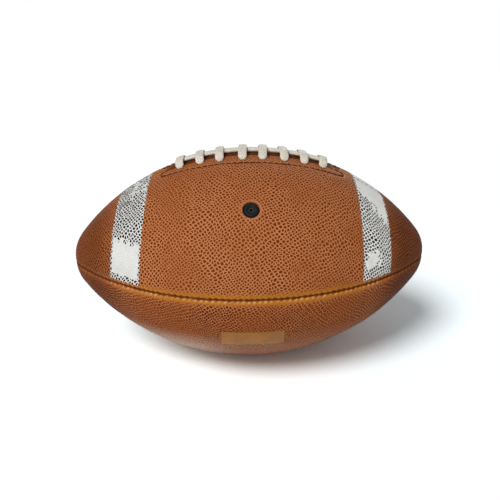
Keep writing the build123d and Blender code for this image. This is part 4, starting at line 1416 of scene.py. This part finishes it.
class FOOTBALL_OT_valve(bpy.types.Operator):
    """Build the rubber valve with its dished needle hole"""

    bl_idname = "football.valve"
    bl_label = "Valve"

    def execute(self, context):
        settings = context.scene.football
        valve = settings.valve
        form = BallForm(settings.ball)
        edge = valve.flange_edge
        flange_top = -valve.flange_depth
        flange_foot = flange_top - valve.flange_thickness
        needle_end = [(valve.entry_radius, -valve.core_depth)]
        outline = needle_end + [(valve.entry_radius + VALVE_LIP[0], VALVE_LIP[1] - valve.core_depth)]
        outline += [(valve.dish_radius + out, up - valve.recess) for out, up in VALVE_DISH]
        outline += [(valve.radius + out, up - valve.recess) for out, up in VALVE_RIM]
        outline += [
            (valve.radius, flange_top), (valve.flange_radius - edge, flange_top),
            (valve.flange_radius, flange_top - edge), (valve.flange_radius, flange_foot + edge),
            (valve.flange_radius - edge, flange_foot), (valve.stem_radius, flange_foot),
            (valve.stem_radius, -valve.length), (valve.core_radius, -valve.length),
            (valve.core_radius, -valve.core_depth),
        ]
        turns = np.linspace(0, 2 * math.pi, VALVE_SIDES + 1)
        turns[-1] = 0
        profile = np.array(outline + needle_end)
        rings = np.stack(np.broadcast_arrays(
            profile[:, None, 0] * np.cos(turns), profile[:, None, 0] * np.sin(turns), profile[:, None, 1]
        ), axis=-1)
        piece = grid_skin("valve_body_look", rings)
        turned = Matrix.Translation(Vector(valve_seat(form, valve))) @ Matrix.Rotation(valve.turn, 4, "X")
        piece.data.transform(turned)
        shade(piece)
        dress(piece, valve_rubber(settings), "valve_body")
        return {"FINISHED"}


class FOOTBALL_OT_label(bpy.types.Operator):
    """Build the blank film that lies on the front lower panel"""

    bl_idname = "football.label"
    bl_label = "Blank film"

    def execute(self, context):
        settings = context.scene.football
        label = settings.label
        form = BallForm(settings.ball)
        arc = np.linspace(-label.length / 2, label.length / 2, FILM_STEPS[0] + 1)[:, None]
        half = label.height / form.radius / 2
        turn = label.turn + np.linspace(-half, half, FILM_STEPS[1] + 1)[None, :]
        below = form.place(arc, turn, np.full_like(arc, label.lift))
        above = form.place(arc, turn[:, ::-1], np.full_like(arc, label.lift + label.thickness))
        rings = np.concatenate([below, above, below[:, :1]], axis=1)
        piece = grid_skin("label_film_look", rings)
        shade(piece)
        dress(piece, label_film(settings), "label_film")
        return {"FINISHED"}


class FOOTBALL_OT_inner_layers(bpy.types.Operator):
    """Give the layers under the cover their finishes"""

    bl_idname = "football.inner_layers"
    bl_label = "Inner layers"

    def execute(self, context):
        cloth = woven_cloth("lining_cloth")
        twine = inner_finish("seam_thread", (0.48, 0.38, 0.23), (0.34, 0.26, 0.15), 900.0, 0.7)
        facing = inner_finish("facing_leather", (0.17, 0.085, 0.038), (0.24, 0.125, 0.06), 240.0, 0.8)
        felt = inner_finish("tongue_felt", (0.13, 0.085, 0.055), (0.09, 0.06, 0.04), 600.0, 0.95)
        rubber = inner_finish("bladder_rubber", (0.018, 0.018, 0.018), (0.028, 0.027, 0.026), 120.0, 0.5)
        core = inner_finish("valve_core_rubber", (0.004, 0.004, 0.004), (0.007, 0.007, 0.007), 200.0, 0.55)
        finishes = {
            "lining": cloth, "thread_seam": twine, "facing": facing,
            "tongue": felt, "bladder": rubber, "valve_core": core,
        }
        for name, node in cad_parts.items():
            for start, finish in finishes.items():
                if name.startswith(start):
                    node.data.materials.clear()
                    node.data.materials.append(finish)
        return {"FINISHED"}


class FOOTBALL_OT_stage(bpy.types.Operator):
    """Set up the floor, the studio light and the camera"""

    bl_idname = "football.stage"
    bl_label = "Stage"

    def execute(self, context):
        settings = context.scene.football
        self.floor(settings.stage)
        self.room(context.scene, settings.stage)
        self.lamps(settings.stage)
        self.camera(context.scene, settings)
        context.scene.view_settings.view_transform = "Standard"
        return {"FINISHED"}

    def floor(self, stage):
        """A plain white floor that keeps the shadow."""
        bpy.ops.object.select_all(action="DESELECT")
        bpy.ops.mesh.primitive_plane_add(size=3.0)
        floor = bpy.context.object
        floor.name = "floor"
        material, board = material_board("floor_white")
        matte = board.node("ShaderNodeBsdfDiffuse", {}, {"Color": (0.92, 0.92, 0.92)}).outputs[0]
        lift = board.mix(board.seen(), (0.0, 0.0, 0.0), stage.floor_white)
        brighter = board.node("ShaderNodeBsdfDiffuse", {}, {"Color": lift}).outputs[0]
        total = board.node("ShaderNodeAddShader", {}, {0: matte, 1: brighter}).outputs[0]
        board.node("ShaderNodeOutputMaterial", {}, {"Surface": total})
        floor.data.materials.append(material)

    def room(self, scene, stage):
        """An even white room, seen as pure white."""
        world = bpy.data.worlds.new("studio")
        scene.world = world
        world.use_nodes = True
        board = Board(world.node_tree)
        even = {"Color": (1.0, 1.0, 1.0), "Strength": board.spread(board.seen(), stage.fill, 1.0)}
        light = board.node("ShaderNodeBackground", {}, even).outputs[0]
        board.node("ShaderNodeOutputWorld", {}, {"Surface": light})

    def lamps(self, stage):
        """A broad light from the upper left, and one from the front and the back that leave the floor out."""
        lamps = (
            ("top", stage.top, 26, Vector((0.42, 0.44, -0.79))),
            ("front", stage.front, 24, Vector((0.30, 0.90, -0.30))),
            ("back", stage.back, 24, Vector((-0.25, -0.90, -0.35))),
        )
        for name, strength, degrees, aim in lamps:
            bpy.ops.object.light_add(type="SUN", location=-aim)
            lamp = bpy.context.object
            lamp.name = name
            lamp.data.energy = strength
            lamp.data.angle = math.radians(degrees)
            lamp.rotation_euler = aim.to_track_quat("-Z", "Y").to_euler()
        unlit = bpy.data.collections.new("floor_left_out")
        unlit.objects.link(bpy.data.objects["floor"])
        unlit.collection_objects[0].light_linking.link_state = "EXCLUDE"
        for name in ("front", "back"):
            bpy.data.objects[name].light_linking.receiver_collection = unlit

    def camera(self, scene, settings):
        """The photograph's viewpoint."""
        stage = settings.stage
        middle = Vector((0, 0, BallForm(settings.ball).centre))
        level = Vector((-math.sin(stage.yaw), -math.cos(stage.yaw), 0)) * stage.distance
        place = middle + Matrix.Rotation(-stage.elevation, 3, "X") @ level
        ahead = (middle - place).normalized()
        right = ahead.cross(Vector((0, 0, 1))).normalized()
        up = right.cross(ahead)
        aim = ahead * math.cos(stage.drop) - up * math.sin(stage.drop)
        up = right.cross(aim)
        rolled_up = up * math.cos(stage.roll) + right * math.sin(stage.roll)
        rolled_right = right * math.cos(stage.roll) - up * math.sin(stage.roll)
        turn = Matrix((rolled_right, rolled_up, -aim)).transposed()
        bpy.ops.object.camera_add(location=place, rotation=turn.to_euler())
        camera = bpy.context.object
        camera.data.sensor_fit = "HORIZONTAL"
        camera.data.sensor_width = 36
        camera.data.lens = stage.lens
        camera.data.shift_y = stage.shift
        camera.data.clip_start = 0.01
        scene.camera = camera


class FOOTBALL_PT_panel(bpy.types.Panel):
    """Buttons and settings of the football"""

    bl_idname = "FOOTBALL_PT_panel"
    bl_label = "Football"
    bl_space_type = "VIEW_3D"
    bl_region_type = "UI"
    bl_category = "Football"

    def draw(self, context):
        settings = context.scene.football
        for operator in OPERATORS:
            self.layout.operator(operator.bl_idname)
        for name in FootballSettings.__annotations__:
            group = getattr(settings, name)
            box = self.layout.box()
            box.label(text=name.capitalize())
            for part in group.__annotations__:
                box.prop(group, part)


SETTINGS = (
    BallSettings, PebbleSettings, StripeSettings, LaceSettings, FacingSettings,
    ValveSettings, LabelSettings, ColourSettings, StageSettings, FootballSettings,
)
OPERATORS = (
    FOOTBALL_OT_panels, FOOTBALL_OT_lace, FOOTBALL_OT_facing_stitches, FOOTBALL_OT_valve,
    FOOTBALL_OT_label, FOOTBALL_OT_inner_layers, FOOTBALL_OT_stage,
)
CLASSES = SETTINGS + OPERATORS + (FOOTBALL_PT_panel,)


def register():
    """Register the settings, the operators and the panel."""
    for kind in CLASSES:
        bpy.utils.register_class(kind)
    bpy.types.Scene.football = PointerProperty(
        name="Football", description="Football settings", type=FootballSettings
    )


def unregister():
    """Take them back out."""
    del bpy.types.Scene.football
    for kind in reversed(CLASSES):
        bpy.utils.unregister_class(kind)


def main():
    """Build every piece."""
    register()
    bpy.ops.football.panels()
    bpy.ops.football.lace()
    bpy.ops.football.facing_stitches()
    bpy.ops.football.valve()
    bpy.ops.football.label()
    bpy.ops.football.inner_layers()
    bpy.ops.football.stage()


if __name__ == "__main__":
    main()
